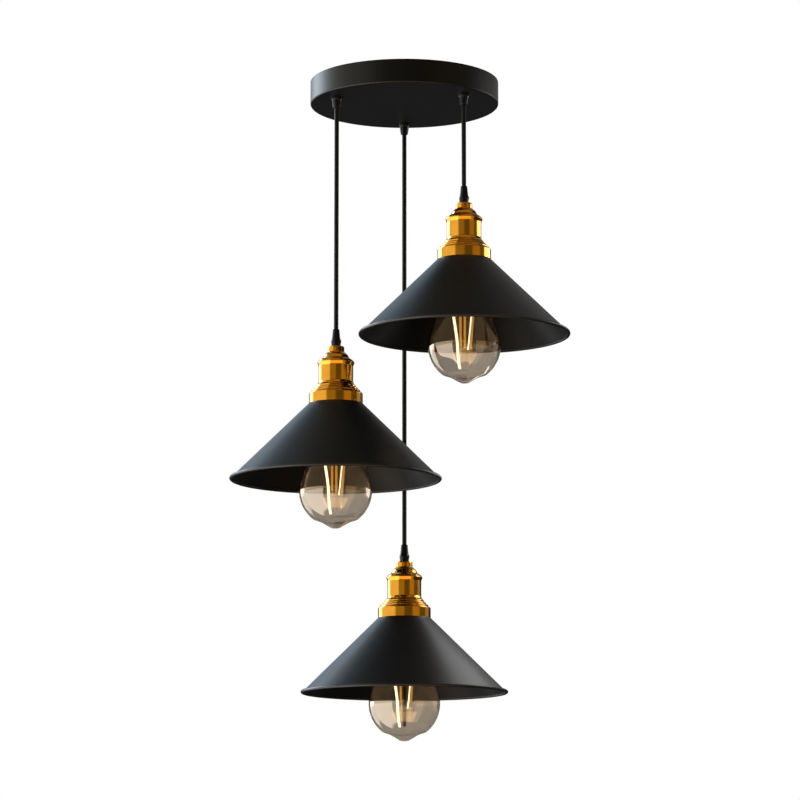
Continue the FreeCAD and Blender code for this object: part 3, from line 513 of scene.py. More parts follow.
def on_each_pendant(piece, bm, material, group, nodes):
    """Put one copy of a bmesh on each pendant. group is lamp or bulb, the body that it rides on."""
    for name, place in PENDANTS.items():
        make_piece(f"{name}_{piece}", bm, material, f"{name}_{group}",
                   [f"{name}_{node}" for node in nodes], place)
    print(piece, "faces", len(bm.faces))
    bm.free()


print("edges stay sharp from this angle on", round(math.degrees(SHARP_ANGLE)))

# %% [markdown]
# ## The shades
# Each shade is spun from one disc of 0.8 mm steel: a flat top with a hole for the holder, a straight
# cone, and a rim that is rolled into a bead so that it is stiff and safe to touch. The faces of the
# inside, which look down and lie within the cone, take the second of the shade's two coats, which paints
# shade and warm light into the inside.

# %% Cone shades
SPUN_STEPS = 192
SHADE_SLOPE = math.tan(math.radians(45.5))
CONE_BASE_R = 108.0
SHADE_WALL = 0.8
RIM_CENTRE_R = 108.2
BEAD_R = 1.8
HOLDER_HOLE_R = 18.3
SHADE_TOP_R = 23.3
LOOKS_DOWN = -0.3


def cone_height(radius):
    """Height of the shade's outside at one radius."""
    return (CONE_BASE_R - radius) / SHADE_SLOPE


SHADE_TOP = cone_height(SHADE_TOP_R)
SHADE_UNDERSIDE = SHADE_TOP - SHADE_WALL
INNER_BASE_R = CONE_BASE_R - SHADE_WALL * math.sqrt(1 + SHADE_SLOPE ** 2)


def rolled_bead(start, end, steps):
    """Points round the rim's bead, from one angle down and round to another."""
    turns = [math.radians(start + (end - start) * index / steps) for index in range(steps + 1)]
    return [(RIM_CENTRE_R + BEAD_R * math.cos(turn), BEAD_R * math.sin(turn)) for turn in turns]


shade_outline = [(HOLDER_HOLE_R, SHADE_TOP, 0.2), (SHADE_TOP_R, SHADE_TOP, 2.0)]
shade_outline += rolled_bead(start=140.0, end=-193.0, steps=26)
shade_outline += [(INNER_BASE_R - SHADE_UNDERSIDE * SHADE_SLOPE, SHADE_UNDERSIDE, 1.2),
                  (HOLDER_HOLE_R, SHADE_UNDERSIDE, 0.2)]
shade = turned(shade_outline, SPUN_STEPS)
# Inner faces take coat 1, the copy with painted shade and painted warm light.
for face in shade.faces:
    within_cone = face.calc_center_median().xy.length < INNER_BASE_R
    face.material_index = int(within_cone and face.normal.z < LOOKS_DOWN)
on_each_pendant("cone_shade", shade, black_coat, "lamp", ["shade"])
for name in PENDANTS:
    bpy.data.objects[name + "_cone_shade"].data.materials.append(inside_coat_painted_shade)

# %% [markdown]
# ## The brass holder
# From below: a stepped collar that presses on the shade, a plain tube with a rolled flange, and a cap
# with two shoulders and a neck. The small fillets between the steps are what makes them read as
# polished brass, since each one mirrors the whole room in a thin bright line.

# %% Collar, tube and cap
HOLDER_STEPS = 160
SEAT_R = 18.05
COLLAR_GAP = 0.07
collar_outline = [
    (SEAT_R, SHADE_TOP), (19.85, SHADE_TOP), (19.85, 87.0, 0.6), (26.8, 87.0, 1.0),
    (26.8, cone_height(26.8) + COLLAR_GAP), (28.0, cone_height(28.0) + COLLAR_GAP), (28.0, 89.35, 1.7),
    (25.45, 90.9, 0.35), (25.5, 92.35, 0.95), (23.3, 93.1, 0.35), (23.1, 94.85, 1.3),
    (20.95, 95.6, 0.3), (20.75, 97.25, 1.2), (19.1, 98.95, 0.2), (SEAT_R, 99.18)]
tube_outline = [
    (17.0, 122.2), (18.95, 122.2, 0.15), (19.4, 121.5, 0.75), (18.0, 118.1, 3.2), (18.0, 101.5, 2.6),
    (18.9, 99.24, 0.1), (18.0, 99.22), (18.0, 76.44, 0.2), (14.8, 76.44, 0.2), (14.8, 77.24), (17.0, 77.24)]
cap_outline = [
    (5.1, 138.6, 0.2), (8.3, 138.6, 0.5), (8.65, 137.3, 0.5), (8.65, 132.95, 0.35), (12.6, 129.6, 5.5),
    (14.0, 126.2, 0.3), (14.9, 125.7, 0.5), (17.9, 123.9, 2.6), (19.0, 122.25, 0.15), (16.95, 122.22),
    (16.95, 114.3), (15.85, 114.3), (15.85, 123.0), (12.9, 124.6, 0.8), (8.9, 132.0, 3.0), (5.1, 132.0)]
on_each_pendant("brass_collar", turned(collar_outline, HOLDER_STEPS), brass, "lamp",
                ["shade_collar"])
on_each_pendant("brass_tube", turned(tube_outline, HOLDER_STEPS), brass, "lamp", ["holder_body"])
on_each_pendant("brass_cap", turned(cap_outline, HOLDER_STEPS), brass, "lamp", ["holder_cap"])

# %% [markdown]
# ## Cord grips
# A grip is a small moulded cone that clamps the cord and carries the lamp's weight. The one on the
# holder is widest a third of the way up, where a nylon clamp screw sits in a little boss. The ones
# under the canopy have a flange and a rounded mouth.

# %% Cord grips
GRIP_STEPS = 64
CANOPY_UNDER = -25.0
CLAMP_R = 4.55
CLAMP_HEIGHT = 144.3
holder_grip_outline = [
    (2.8, 157.0, 0.3), (3.5, 157.0, 0.7), (3.95, 151.6, 6.0), (4.45, 147.6, 4.0), (5.25, 144.3, 1.2),
    (4.65, 138.65), (5.0, 138.62), (5.0, 131.1), (2.45, 131.1), (2.45, 152.5), (2.8, 152.5)]
grip = turned(holder_grip_outline, GRIP_STEPS)


def clamp_screw(bm, radius, height):
    """A round boss on the grip's right side, with a slotted nylon screw set into it."""
    side = Matrix.Translation((radius, 0, height)) @ Matrix.Rotation(math.radians(90), 4, "Y")
    boss = bmesh.ops.create_cone(bm, cap_ends=True, segments=32, radius1=1.7, radius2=1.45, depth=1.6,
                                 matrix=side)
    faces = {face for vert in boss["verts"] for face in vert.link_faces}
    outer = max(faces, key=lambda face: face.calc_center_median().x)
    bmesh.ops.inset_region(bm, faces=[outer], thickness=0.3, depth=0.0)
    bmesh.ops.inset_region(bm, faces=[outer], thickness=0.12, depth=-0.25)


clamp_screw(grip, CLAMP_R, CLAMP_HEIGHT)
on_each_pendant("holder_grip", grip, grip_black, "lamp", ["cord_grip"])

canopy_grip_outline = [
    (2.8, CANOPY_UNDER - 12.0, 0.4), (3.95, CANOPY_UNDER - 12.0, 1.0), (5.0, CANOPY_UNDER - 4.2, 3.0),
    (5.4, CANOPY_UNDER - 2.6, 0.8), (6.3, CANOPY_UNDER - 1.9, 0.4), (6.3, CANOPY_UNDER),
    (5.0, CANOPY_UNDER), (5.0, -19.5), (2.45, -19.5), (2.45, CANOPY_UNDER - 7.5),
    (2.8, CANOPY_UNDER - 7.5)]
canopy_grips = bmesh.new()
for place in PENDANTS.values():
    one = turned(canopy_grip_outline, GRIP_STEPS)
    bmesh.ops.translate(one, verts=one.verts[:], vec=(place.x, place.y, 0))
    add_shape(canopy_grips, one)
    one.free()
make_piece("canopy_grips", canopy_grips, grip_black, "canopy_body", ["canopy_cord_grips"])
print("canopy grips faces", len(canopy_grips.faces))

# %% [markdown]
# ## Drilled holes
# Sheet metal is spun first and drilled afterwards, and we do the same. A boolean takes round cutters
# away from a finished shape, which leaves exact and crisp edges.

# %% Helpers that cut holes
def cut_away(name, bm, tool):
    """Subtract one closed bmesh from another with a boolean, and hand back the result."""
    solid = bpy.data.objects.new(name, as_mesh(bm))
    cutter = bpy.data.objects.new(name + "_tool", as_mesh(tool))
    scene.collection.objects.link(solid)
    scene.collection.objects.link(cutter)
    modifier = solid.modifiers.new("cut", "BOOLEAN")
    modifier.operation = "DIFFERENCE"
    modifier.solver = "EXACT"
    modifier.object = cutter
    bpy.context.view_layer.update()
    shaped = bpy.data.meshes.new_from_object(solid.evaluated_get(bpy.context.evaluated_depsgraph_get()))
    result = bmesh.new()
    result.from_mesh(shaped)
    for item in (solid, cutter):
        bpy.data.objects.remove(item)
    bpy.data.meshes.remove(shaped)
    return result


def drills(rows, segments=24):
    """Round cutters: each row is a place, a radius, a length and a turn."""
    tool = bmesh.new()
    for place, radius, length, turn in rows:
        matrix = Matrix.Translation(place) @ turn
        bmesh.ops.create_cone(tool, cap_ends=True, segments=segments, radius1=radius, radius2=radius,
                              depth=length, matrix=matrix)
    return tool


UPRIGHT = Matrix.Identity(4)
ALONG_X = Matrix.Rotation(math.radians(90), 4, "Y")
cutter = drills([((0, 0, 0), 1, 1, UPRIGHT)])
print("faces on one round cutter", len(cutter.faces))
cutter.free()

# %% [markdown]
# ## The canopy
# A shallow dish of spun steel, open to the ceiling. From below we see its wall, a small round at its
# lower edge and the flat underside with the three grips. Its wall takes the second of its two coats,
# which mirrors less face on and so paints shade on the wall.

# %% Canopy
CANOPY_R = 100.0
CANOPY_WALL = 1.0
DRILL_LENGTH = 6.0
GRIP_HOLE_R = 5.3
SIDE_HOLE_R = 2.15
SIDE_HOLE_HEIGHT = -12.0
NEARLY_UPRIGHT = 0.5
canopy_outline = [
    (0, CANOPY_UNDER), (CANOPY_R, CANOPY_UNDER, 1.6), (CANOPY_R, 0, 0.3), (CANOPY_R - CANOPY_WALL, 0, 0.3),
    (CANOPY_R - CANOPY_WALL, CANOPY_UNDER + CANOPY_WALL, 0.6), (0, CANOPY_UNDER + CANOPY_WALL)]
dish = turned(canopy_outline, SPUN_STEPS)
holes = [((place.x, place.y, CANOPY_UNDER), GRIP_HOLE_R, DRILL_LENGTH, UPRIGHT)
         for place in PENDANTS.values()]
holes += [((side * CANOPY_R, 0, SIDE_HOLE_HEIGHT), SIDE_HOLE_R, DRILL_LENGTH, ALONG_X) for side in (-1, 1)]
dish = cut_away("canopy_dish_cut", dish, drills(holes, 40))
# Upright faces take coat 1, which paints shade on the canopy's wall.
for face in dish.faces:
    face.material_index = int(abs(face.normal.z) < NEARLY_UPRIGHT)
canopy_dish = make_piece("canopy_dish", dish, black_coat, "canopy_body", ["canopy"])
canopy_dish.data.materials.append(canopy_side_coat_painted_shade)
print("canopy faces", len(dish.faces))

# %% [markdown]
# ## The bulbs' glass
# The bulb is a pear of thin amber glass that ends in a small point, where the glass tube was drawn
# off. Glass only looks right with a real wall, because light bends where it enters and again where it
# leaves. So we draw the outside only, spin it, and then give it its 0.8 mm with solidify.

# %% Amber glass
def thin_glass(name, tint, mirror, gleam):
    """Glass: tint is what one wall lets through, mirror the share of its coat, gleam what it reflects."""
    material, tree, shader = new_finish(name)
    set_values(shader, Base_Color=(*tint, 1.0), Roughness=0.0, IOR=1.5, Transmission_Weight=1.0,
               Metallic=mirror, Specular_Tint=(*gleam, 1.0))
    ripple = object_noise(tree, 26.0, detail=1.5)
    bump(tree, shader, ripple, 0.0012, 0.05)
    return material


amber_glass = thin_glass("amber_glass", tint=(0.7, 0.63, 0.55), mirror=0.16, gleam=(1.0, 0.7, 0.34))
clear_glass = thin_glass("clear_glass", tint=(0.99, 0.99, 0.98), mirror=0.0, gleam=(1.0, 1.0, 1.0))

BULB_TIP = -51.66
BULB_TOP = 104.74
GLASS_TOP = BULB_TOP - 21.0
NECK_R = 12.3
GLASS_WALL = 0.8
BELLY_R = 37.8
BELLY_HEIGHT = BULB_TIP + 39.3
SHOULDER_R = 19.0
POINT_BASE_R = 23.1


def bulb_outline():
    """Corners of the bulb's outside, from the neck's top down to the tip."""
    flank = math.radians(14.0)
    bottom = math.radians(49.2)
    flank_r, flank_h = BELLY_R * math.cos(flank), BELLY_HEIGHT + BELLY_R * math.sin(flank)
    low_r, low_h = BELLY_R * math.cos(bottom), BELLY_HEIGHT - BELLY_R * math.sin(bottom)
    slope, fall = math.tan(flank), 1 / math.tan(bottom)
    corner_r = (flank_r + slope * (flank_h - low_h + fall * low_r)) / (1 + slope * fall)
    corner_h = low_h + fall * (corner_r - low_r)
    shoulder_h = flank_h + (flank_r - SHOULDER_R) / slope
    point_base_h = low_h - fall * (low_r - POINT_BASE_R)
    return [(NECK_R, GLASS_TOP), (NECK_R, BULB_TOP - 33.0, 5.0), (SHOULDER_R, shoulder_h, 9.0),
            (corner_r, corner_h, BELLY_R), (POINT_BASE_R, point_base_h, 6.5),
            (15.1, -45.06, 8.2), (4.0, BULB_TIP, 7.2), (0, BULB_TIP)]


glass = bmesh.new()
draw_outline(glass, bulb_outline(), closed=False, arc_step=3.0)
spin_round(glass, 144)
belly = max(glass.faces, key=lambda face: face.calc_center_median().x)
if belly.normal.x < 0:
    bmesh.ops.reverse_faces(glass, faces=glass.faces[:])
bmesh.ops.solidify(glass, geom=glass.faces[:], thickness=GLASS_WALL)
on_each_pendant("pear_glass", glass, amber_glass, "bulb", ["bulb_glass"])

# %% [markdown]
# ## The bulb's screw cap
# The cap is rolled from thin brass sheet, so its thread is a soft wave and not a cut V. We spin a
# finely divided sleeve first, and then push its rings in and out with a wave that climbs by one pitch
# in each turn. The wave fades out at both ends, as the rolled thread of a real cap does.

# %% Caps with a rolled thread
THREAD_PITCH = 3.6
CAP_TOP_HEIGHT = BULB_TOP - 6.0
CAP_LOW_HEIGHT = BULB_TOP - 26.5


def roll_thread(bm, low, high, depth):
    """Move points between two heights in and out along a helical wave."""
    fade = THREAD_PITCH * 0.7
    for vert in bm.verts:
        height = vert.co.z
        if not low < height < high:
            continue
        turn = math.atan2(vert.co.y, vert.co.x) / (2 * math.pi)
        wave = math.cos(2 * math.pi * (height / THREAD_PITCH - turn))
        share = min(1.0, (height - low) / fade, (high - height) / fade)
        radius = vert.co.xy.length
        scale = (radius + depth * wave * share) / radius
        vert.co.x *= scale
        vert.co.y *= scale


def steps_between(radius, low, high, step=0.3):
    """Points up a straight wall, close enough together to carry the thread's wave."""
    count = max(1, round(abs(high - low) / step))
    return [(radius, low + (high - low) * index / count) for index in range(count + 1)]


WAVE_R = 12.72
CAP_WALL = 0.35
CAP_CEILING = CAP_TOP_HEIGHT - CAP_WALL
WAVE_LOW = CAP_LOW_HEIGHT + 4.6
SOLDER_HEIGHT = BULB_TOP - 1.4
cap_outline = [(12.35, CAP_LOW_HEIGHT), (12.7, CAP_LOW_HEIGHT), (12.7, CAP_LOW_HEIGHT + 4.0, 0.3)]
cap_outline += steps_between(WAVE_R, WAVE_LOW, CAP_TOP_HEIGHT - 1.0)
cap_outline += [(12.1, CAP_TOP_HEIGHT, 0.5), (9.6, CAP_TOP_HEIGHT), (9.6, CAP_CEILING),
                (11.75, CAP_CEILING, 0.3)]
cap_outline += steps_between(WAVE_R - CAP_WALL, CAP_TOP_HEIGHT - 1.3, CAP_LOW_HEIGHT + 6.2)
cap_outline += [(12.35, CAP_LOW_HEIGHT + 5.4)]
cap = turned(cap_outline, 96)
roll_thread(cap, WAVE_LOW, CAP_TOP_HEIGHT - 0.9, depth=0.4)
solder_outline = [(0, SOLDER_HEIGHT), (4.8, SOLDER_HEIGHT, 0.2), (4.3, BULB_TOP - 0.25, 0.8), (0, BULB_TOP)]
add_shape(cap, turned(solder_outline, 48))
on_each_pendant("screw_cap", cap, plain_brass, "bulb", ["bulb_cap"])

LEDGE_HEIGHT = CAP_CEILING - 0.05
INSULATOR_TOP = SOLDER_HEIGHT - 0.05
insulator = turned([
    (0, 97.6), (11.2, 97.6, 0.2), (11.2, LEDGE_HEIGHT), (9.5, LEDGE_HEIGHT),
    (9.5, CAP_TOP_HEIGHT + 0.5, 0.4), (4.9, INSULATOR_TOP, 0.5), (0, INSULATOR_TOP)], 64)
on_each_pendant("cap_insulator", insulator, black_glass, "bulb", ["bulb_insulator"])

# %% [markdown]
# ## The stem
# Inside the bulb, a clear glass stem closes the neck, flares out to the wall and ends in a flat pinch
# that holds thin wires. The lowest bulb also has a dark rod in its middle.

# %% Stems
stem = turned([
    (0, 83.7), (11.45, 83.7, 0.3), (11.45, 82.9, 0.3), (4.4, 74.7, 8.0), (3.6, 52.7, 3.0), (5.4, 48.7, 1.2),
    (5.4, 46.75, 0.4), (0, 46.75)], 64)
on_each_pendant("glass_stem", stem, clear_glass, "bulb", ["bulb_stem"])

rod = turned([(0, -36.46), (2.05, -36.46, 0.8), (2.05, 46.7), (0, 46.7)], 32)
make_piece("back_centre_rod", rod, smoked_rod, "back_bulb", ["back_bulb_stem"],
           PENDANTS["back"])

# %% [markdown]
# ## The light strips
# Each wire carries a slender strip of tiny lamps under a yellow coat. Two strips shine, and the three
# behind them are off, with a weak painted amber glow. They are curves, which follow the slight bend of the
# long one.

# %% Light strips and their wires
STEM_END = 46.74
STRIP_TOP = 42.7
LONG_STRIP = [
    (-14.2, -6.0, STRIP_TOP), (-12.6, -5.8, 28.0), (-11.1, -5.6, 16.0), (-8.9, -5.4, 2.0),
    (-7.5, -5.2, -9.0), (-6.9, -5.0, -19.0), (-6.6, -4.8, -26.0), (-5.9, -4.6, -32.0), (-4.8, -4.5, -37.4)]
SHORT_STRIP = [
    (8.9, -8.0, STRIP_TOP), (7.7, -7.3, 26.0), (6.6, -6.6, 12.0), (5.3, -5.9, 0.0), (4.5, -5.3, -10.0),
    (3.4, -5.0, -17.6)]
DULL_STRIPS = [
    [(-4.0, 9.0, STRIP_TOP), (-3.8, 6.0, -11.6)], [(0.6, 9.5, STRIP_TOP), (0.6, 6.5, -13.6)],
    [(10.6, 3.5, STRIP_TOP), (6.6, 2.5, -14.6)]]
LONG_STRIP_R = 1.35
SHORT_STRIP_R = 0.7
DULL_STRIP_R = 1.2
LEAD_R = 0.3
STRIP_END_R = 0.45
STRIP_END = Vector((0, 0, -1.2))
ROOTS = [(-3.6, -2.0), (3.6, -2.4), (-2.2, 3.6), (2.2, 3.6), (4.4, 0.6)]


def wires(name, runs, finish, place, body, nodes, kind="POLY"):
    """One curve of several round runs, each a list of points with its own radius."""
    line = new_curve(name, finish, 1.0, round_steps=5, length_steps=6)
    for points, radius in runs:
        add_run(line, points, place, radius, kind)
    piece = bpy.data.objects.new(name, line)
    scene.collection.objects.link(piece)
    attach(piece, body)
    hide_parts(*nodes)


def lead(root, top):
    """A thin wire from the stem's pinch out to the upper end of a strip."""
    across, deep = root
    return [(across, deep, STEM_END), (across * 1.1, deep * 1.1, STEM_END - 2.0), top]


strips = [LONG_STRIP, SHORT_STRIP, *DULL_STRIPS]
lit_runs = [(LONG_STRIP, LONG_STRIP_R), (SHORT_STRIP, SHORT_STRIP_R)]
dull_runs = [(strip, DULL_STRIP_R) for strip in DULL_STRIPS]
leads = [(lead(root, strip[0]), LEAD_R) for root, strip in zip(ROOTS, strips)]
ends = [([strip[-1], Vector(strip[-1]) + STRIP_END], STRIP_END_R) for strip in strips]
for name, place in PENDANTS.items():
    body, node = f"{name}_bulb", [f"{name}_bulb_filaments"]
    wires(f"{name}_lit_strips", lit_runs, lit_strip, place, body, node, "NURBS")
    wires(f"{name}_dull_strips", dull_runs, dull_strip_painted_glow, place, body, node)
    wires(f"{name}_lead_wires", leads + ends, nickel, place, body, node)
print("strips on each bulb", len(strips))

# %% [markdown]
# ## Inside the holder
# From below, past the bulb's neck, a little of the socket shows: the ring nut that clamps the shade,
# the brass shell with its rolled thread, and the edge of the porcelain. Nothing here is seen from far
# away, but it comes into view when the bulb is unscrewed.

# %% Ring nut, screw shell and porcelain
RING_R = 21.4
RING_LOW, RING_TOP = 77.44, 82.4
RING_NOTCHES = 16
NOTCH_R = 1.1
NOTCH_LENGTH = 12.0
ring_outline = [(SEAT_R, RING_LOW), (RING_R, RING_LOW, 0.6), (RING_R, RING_TOP, 0.2), (SEAT_R, RING_TOP)]
ring = turned(ring_outline, 128)
turns = [2 * math.pi * index / RING_NOTCHES for index in range(RING_NOTCHES)]
notches = [((RING_R * math.cos(turn), RING_R * math.sin(turn), 80.0), NOTCH_R, NOTCH_LENGTH, UPRIGHT)
           for turn in turns]
ring = cut_away("ring_nut", ring, drills(notches, 20))
on_each_pendant("ring_nut", ring, brass, "lamp", ["shade_ring"])

SHELL_R, SHELL_INSIDE_R = 13.85, 13.5
SHELL_LOW, SHELL_TOP, SHELL_CEILING = 78.3, 106.0, 105.65
shell_outline = steps_between(SHELL_R, SHELL_LOW, 104.6)
shell_outline += [(SHELL_R, SHELL_TOP, 0.5), (6.0, SHELL_TOP), (6.0, SHELL_CEILING)]
shell_outline += [(SHELL_INSIDE_R, SHELL_CEILING, 0.2)] + steps_between(SHELL_INSIDE_R, 104.4, SHELL_LOW)
shell = turned(shell_outline, 96)
roll_thread(shell, 80.0, 103.5, depth=0.15)
on_each_pendant("threaded_shell", shell, plain_brass, "lamp", ["screw_shell"])

# %% [markdown]
# ## Joined copies of the small hidden pieces
# The CAD model's other small pieces already have their true shape, but their meshes are loose
# triangles, which always look faceted. A copy with its doubles merged can shade smoothly round every
# bend and keep its edges crisp, so each of these pieces gets one.

# %% Small pieces
JOIN_DISTANCE = 0.000002


def joined_copy(node, finish):
    """Stands for a CAD node with the same shape in one joined, smoothly shaded mesh."""
    source = frame["nodes"][node]
    bm = bmesh.new()
    bm.from_mesh(source.data)
    bmesh.ops.remove_doubles(bm, verts=bm.verts[:], dist=JOIN_DISTANCE)
    for face in bm.faces:
        face.material_index = 0
    smooth_except_edges(bm)
    mesh = bpy.data.meshes.new(node + "_joined")
    bm.to_mesh(mesh)
    bm.free()
    mesh.materials.append(finish)
    piece = bpy.data.objects.new(node + "_joined", mesh)
    scene.collection.objects.link(piece)
    keep_flats_flat(piece)
    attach(piece, source["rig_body"])
    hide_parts(node)


SMALL_PIECES = {
    "ceiling_bracket": (zinc, "zinc_steel"), "canopy_side_screws": (dark_steel, "dark_steel"),
    "terminal_block": (white_plastic, "white_plastic"), "terminal_pillars": (plain_brass, "brass"),
    "terminal_screws": (zinc, "zinc_steel"), "canopy_locknuts": (zinc, "zinc_steel"),
    "canopy_cord_ends": (cord_black, "black_cord"), "live_wires": (brown_wire, "brown_wire"),
    "neutral_wires": (blue_wire, "blue_wire"), "earth_wires": (green_wire, "green_wire")}
for name in PENDANTS:
    SMALL_PIECES[f"{name}_socket_core"] = (porcelain, "porcelain")
    SMALL_PIECES[f"{name}_socket_contacts"] = (plain_brass, "brass")
    SMALL_PIECES[f"{name}_cord_end"] = (cord_black, "black_cord")
for node, (finish, slot) in SMALL_PIECES.items():
    joined_copy(node, finish)
print("joined copies", len(SMALL_PIECES))

# %% [markdown]
# ## Finishes on the CAD nodes
# The CAD nodes that finer pieces stand for aren't rendered, but they stay in the model for its
# motion, so each of them gets the finish of its slot too.

# %% CAD nodes
FINISHES = {
    "black_paint": black_coat, "brass": brass, "black_cord": cord_black, "black_plastic": grip_black,
    "amber_glass": amber_glass, "clear_glass": clear_glass, "black_glass": black_glass,
    "filament": dull_strip_painted_glow, "bulb_brass": plain_brass, "porcelain": porcelain, "zinc_steel": zinc,
    "dark_steel": dark_steel, "white_plastic": white_plastic, "brown_wire": brown_wire,
    "blue_wire": blue_wire, "green_wire": green_wire}
for row in frame["record"]["subparts"]:
    item = frame["nodes"][row["node"]]
    if not item.material_slots:
        item.data.materials.append(None)
    for slot in item.material_slots:
        slot.material = FINISHES[row["material_slot"]]
print("finishes given to", len(frame["nodes"]), "nodes")

# %% [markdown]
# ## Studio light
# Polished brass and glass show their surroundings, so the light is a room of soft panels round the
# lamp and not a few bare lamps. We write the room as the world's colour: each panel is a patch between
# two compass angles and two height angles, with soft edges. Broad white panels stand to the left, and
# brighter, slightly blue ones behind them. Weak amber ones in front and to the right give the brass its
# depth, golden ones low in front show in the glass, and a dim warm one lies overhead. All the rest is
# dark, which keeps the paint black.

# %% World
world = bpy.data.worlds.new("studio")
world.use_nodes = True
scene.world = world
sky = world.node_tree
sky.nodes.clear()


def edge(value, low, high, falling=False):
    """A smooth step from 0 to 1 between two values, or from 1 to 0 if it is falling."""
    step = sky.nodes.new("ShaderNodeMapRange")
    step.interpolation_type = "SMOOTHSTEP"
    step.inputs["From Min"].default_value = low
    step.inputs["From Max"].default_value = high
    step.inputs["To Min"].default_value = 1.0 if falling else 0.0
    step.inputs["To Max"].default_value = 0.0 if falling else 1.0
    sky.links.new(value, step.inputs["Value"])
    return step.outputs["Result"]


def maths(kind, *values):
    """One Math node: each value is a number or another node's output."""
    node = sky.nodes.new("ShaderNodeMath")
    node.operation = kind
    for index, value in enumerate(values):
        if isinstance(value, (int, float)):
            node.inputs[index].default_value = value
        else:
            sky.links.new(value, node.inputs[index])
    return node.outputs[0]


def between(value, low, high, soft):
    """1 between two values and 0 outside, with edges that are soft this far to each side."""
    rising = edge(value, low - soft, low + soft)
    return maths("MULTIPLY", rising, edge(value, high - soft, high + soft, falling=True))


# Each panel: left and right compass angle, counted from the camera's side with negative to the left;
# low and high angle; colour; how far its soft side edges reach
PANELS = [
    (-116, -40, 0, 42, (1.22, 1.14, 0.94), 3.0),
    (-116, -40, -62, 0, (2.8, 2.7, 2.65), 3.0),
    (-40, 0, 0, 14, (0.42, 0.34, 0.08), 3.0),
    (0, 36, 0, 14, (0.11, 0.085, 0.02), 3.0),
    (-30, 26, -25, -13, (1.6, 0.95, 0.2), 6.0),
    (-45, 45, -62, -28, (1.7, 1.15, 0.45), 5.0),
    (36, 70, 0, 14, (0.52, 0.36, 0.07), 3.0),
    (36, 66, -62, 0, (0.6, 0.46, 0.3), 6.0),
    (70, 104, -8, 14, (0.12, 0.09, 0.02), 3.0),
    (104, 132, -8, 13, (0.4, 0.36, 0.3), 3.0),
    (-116, 100, 42, 80, (0.4, 0.29, 0.12), 8.0),
    (-145, -116, 12, 38, (6.2, 7.2, 8.2), 3.0),
    (-145, -116, 0, 12, (3.6, 3.8, 3.8), 3.0),
    (-145, -116, -30, 0, (2.0, 2.1, 2.2), 3.0),
    (-168, -145, 10, 60, (0.5, 0.68, 0.85), 6.0),
    (140, 168, 10, 60, (0.28, 0.27, 0.26), 6.0),
    (-40, 104, 14, 42, (0.09, 0.06, 0.02), 4.0)]
ROOM = (0.03, 0.03, 0.03)
LEVEL_EDGE = 4
TO_DEGREES = 180 / math.pi

direction = sky.nodes.new("ShaderNodeTexCoord")
split = sky.nodes.new("ShaderNodeSeparateXYZ")
sky.links.new(direction.outputs["Generated"], split.inputs["Vector"])
towards = maths("MULTIPLY", split.outputs["Y"], -1.0)
compass = maths("MULTIPLY", maths("ARCTAN2", split.outputs["X"], towards), TO_DEGREES)
height = maths("MULTIPLY", maths("ARCSINE", split.outputs["Z"]), TO_DEGREES)

total = sky.nodes.new("ShaderNodeCombineXYZ")
for index, value in enumerate(ROOM):
    total.inputs[index].default_value = value
light = total.outputs["Vector"]
for left, right, low, high, colour, soft in PANELS:
    across = between(compass, left, right, soft)
    up = between(height, low, high, LEVEL_EDGE)
    tint = sky.nodes.new("ShaderNodeVectorMath")
    tint.operation = "SCALE"
    tint.inputs[0].default_value = colour
    sky.links.new(maths("MULTIPLY", across, up), tint.inputs["Scale"])
    add = sky.nodes.new("ShaderNodeVectorMath")
    add.operation = "ADD"
    sky.links.new(light, add.inputs[0])
    sky.links.new(tint.outputs["Vector"], add.inputs[1])
    light = add.outputs["Vector"]
print("panels of light", len(PANELS))

# %% [markdown]
# ## White behind the lamp
# A straight look past the lamp or through its glass ends on plain white, as in the photograph. So does
# one that bounces in the glass and then goes on to the back. All else that is mirrored or lit sees the
# panels. The ray's own history and its compass angle tell these apart.

# %% Background
BACK_COMPASS = 160.0
room = sky.nodes.new("ShaderNodeBackground")
sky.links.new(light, room.inputs["Color"])
plain_white = sky.nodes.new("ShaderNodeBackground")
plain_white.inputs["Color"].default_value = (1.0, 1.0, 1.0, 1.0)
path = sky.nodes.new("ShaderNodeLightPath")
bounced = maths("ADD", path.outputs["Glossy Depth"], path.outputs["Diffuse Depth"])
mirrored = maths("GREATER_THAN", bounced, 0.5)
through_glass = maths("GREATER_THAN", path.outputs["Transmission Depth"], 0.5)
backwards = maths("GREATER_THAN", maths("ABSOLUTE", compass), BACK_COMPASS)
straight_on = maths("MULTIPLY", through_glass, backwards)
sees_room = maths("MULTIPLY", mirrored, maths("SUBTRACT", 1.0, straight_on))
choose = sky.nodes.new("ShaderNodeMixShader")
sky.links.new(sees_room, choose.inputs["Fac"])
sky.links.new(plain_white.outputs["Background"], choose.inputs[1])
sky.links.new(room.outputs["Background"], choose.inputs[2])
world_output = sky.nodes.new("ShaderNodeOutputWorld")
sky.links.new(choose.outputs["Shader"], world_output.inputs["Surface"])
scene.view_settings.view_transform = "Standard"
print("view transform", scene.view_settings.view_transform)

# %% [markdown]
# ## Two soft boxes
# Light from far away falls on all three lamps alike, but in the photograph they differ. A wide box
# behind on the right lights the right edges of the upper lamp and the canopy, and a small one close to
# the lowest lamp draws the soft streak on its shade. The camera doesn't see the boxes themselves.

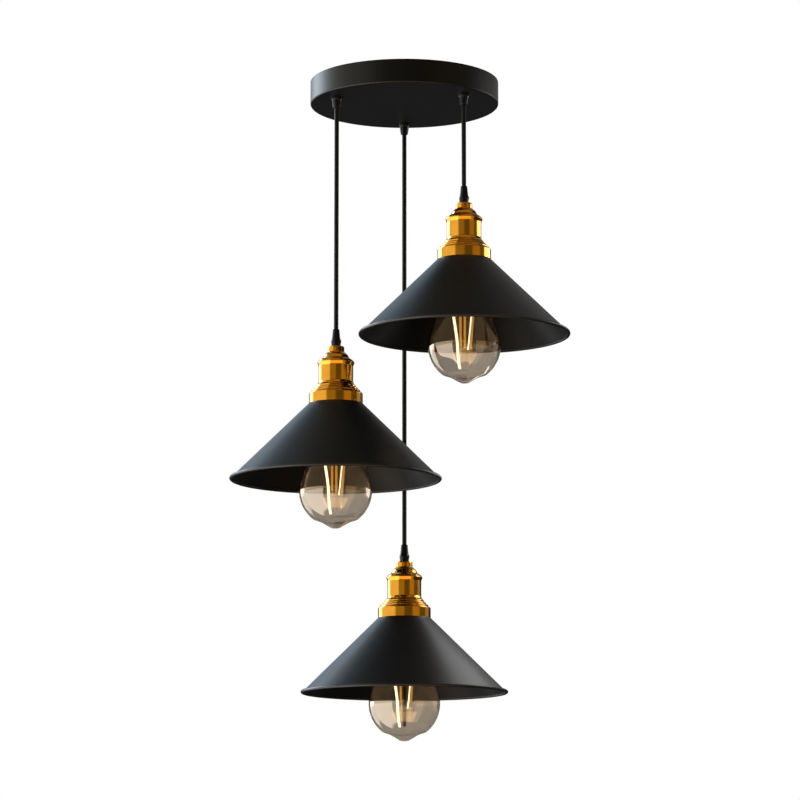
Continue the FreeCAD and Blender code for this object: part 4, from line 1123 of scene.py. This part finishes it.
# %% Soft boxes
def soft_box(name, target, across, upwards, distance, width, height, power):
    """An area light that looks at one spot from two angles; its distance and size are in metres."""
    turn, rise = math.radians(across), math.radians(upwards)
    aim = Vector((math.sin(turn) * math.cos(rise), -math.cos(turn) * math.cos(rise), math.sin(rise)))
    lamp = bpy.data.lights.new(name, "AREA")
    lamp.shape = "RECTANGLE"
    lamp.size = width
    lamp.size_y = height
    lamp.energy = power
    box = bpy.data.objects.new(name, lamp)
    facing = aim.to_track_quat("Z", "Y").to_matrix().to_4x4()
    box.matrix_world = Matrix.Translation(target * MM + aim * distance) @ facing
    box.visible_camera = False
    scene.collection.objects.link(box)


soft_box("upper_right_box", PENDANTS["right"] + Vector((0, 0, 110)), across=118, upwards=9,
         distance=0.9, width=0.72, height=0.2, power=1.6)
soft_box("lower_right_box", PENDANTS["back"] + Vector((75, -40, 15)), across=127, upwards=52,
         distance=0.25, width=0.15, height=0.15, power=0.17)
print("soft boxes", len(bpy.data.lights))

# %% [markdown]
# ## The floor
# A plain pale floor lies three metres below the ceiling, and runs so far that its edge looks like a
# horizon. It is out of the photograph's view and shows only from higher up. It gives off a little
# light of its own, which keeps it pale, and throws none on the lamp.

# %% Floor
FLOOR_HEIGHT = -3.0
FLOOR_R = 60.0
floor_finish, tree, shader = new_finish("pale_floor")
patches = object_noise(tree, 1.5)
two_tones(tree, shader, patches, (0.8, 0.8, 0.79), (0.84, 0.84, 0.83), start=0.3, end=0.7)
set_values(shader, Roughness=0.7, Emission_Color=(1.0, 1.0, 0.98, 1.0), Emission_Strength=0.35)
floor_bm = bmesh.new()
bmesh.ops.create_circle(floor_bm, cap_ends=True, segments=128, radius=FLOOR_R,
                        matrix=Matrix.Translation((0, 0, FLOOR_HEIGHT)))
floor_mesh = bpy.data.meshes.new("floor")
floor_bm.to_mesh(floor_mesh)
floor_bm.free()
floor = bpy.data.objects.new("floor", floor_mesh)
scene.collection.objects.link(floor)
floor_mesh.materials.append(floor_finish)
floor.visible_glossy = False
floor.visible_diffuse = False
floor.visible_shadow = False
print("floor height in metres", FLOOR_HEIGHT)
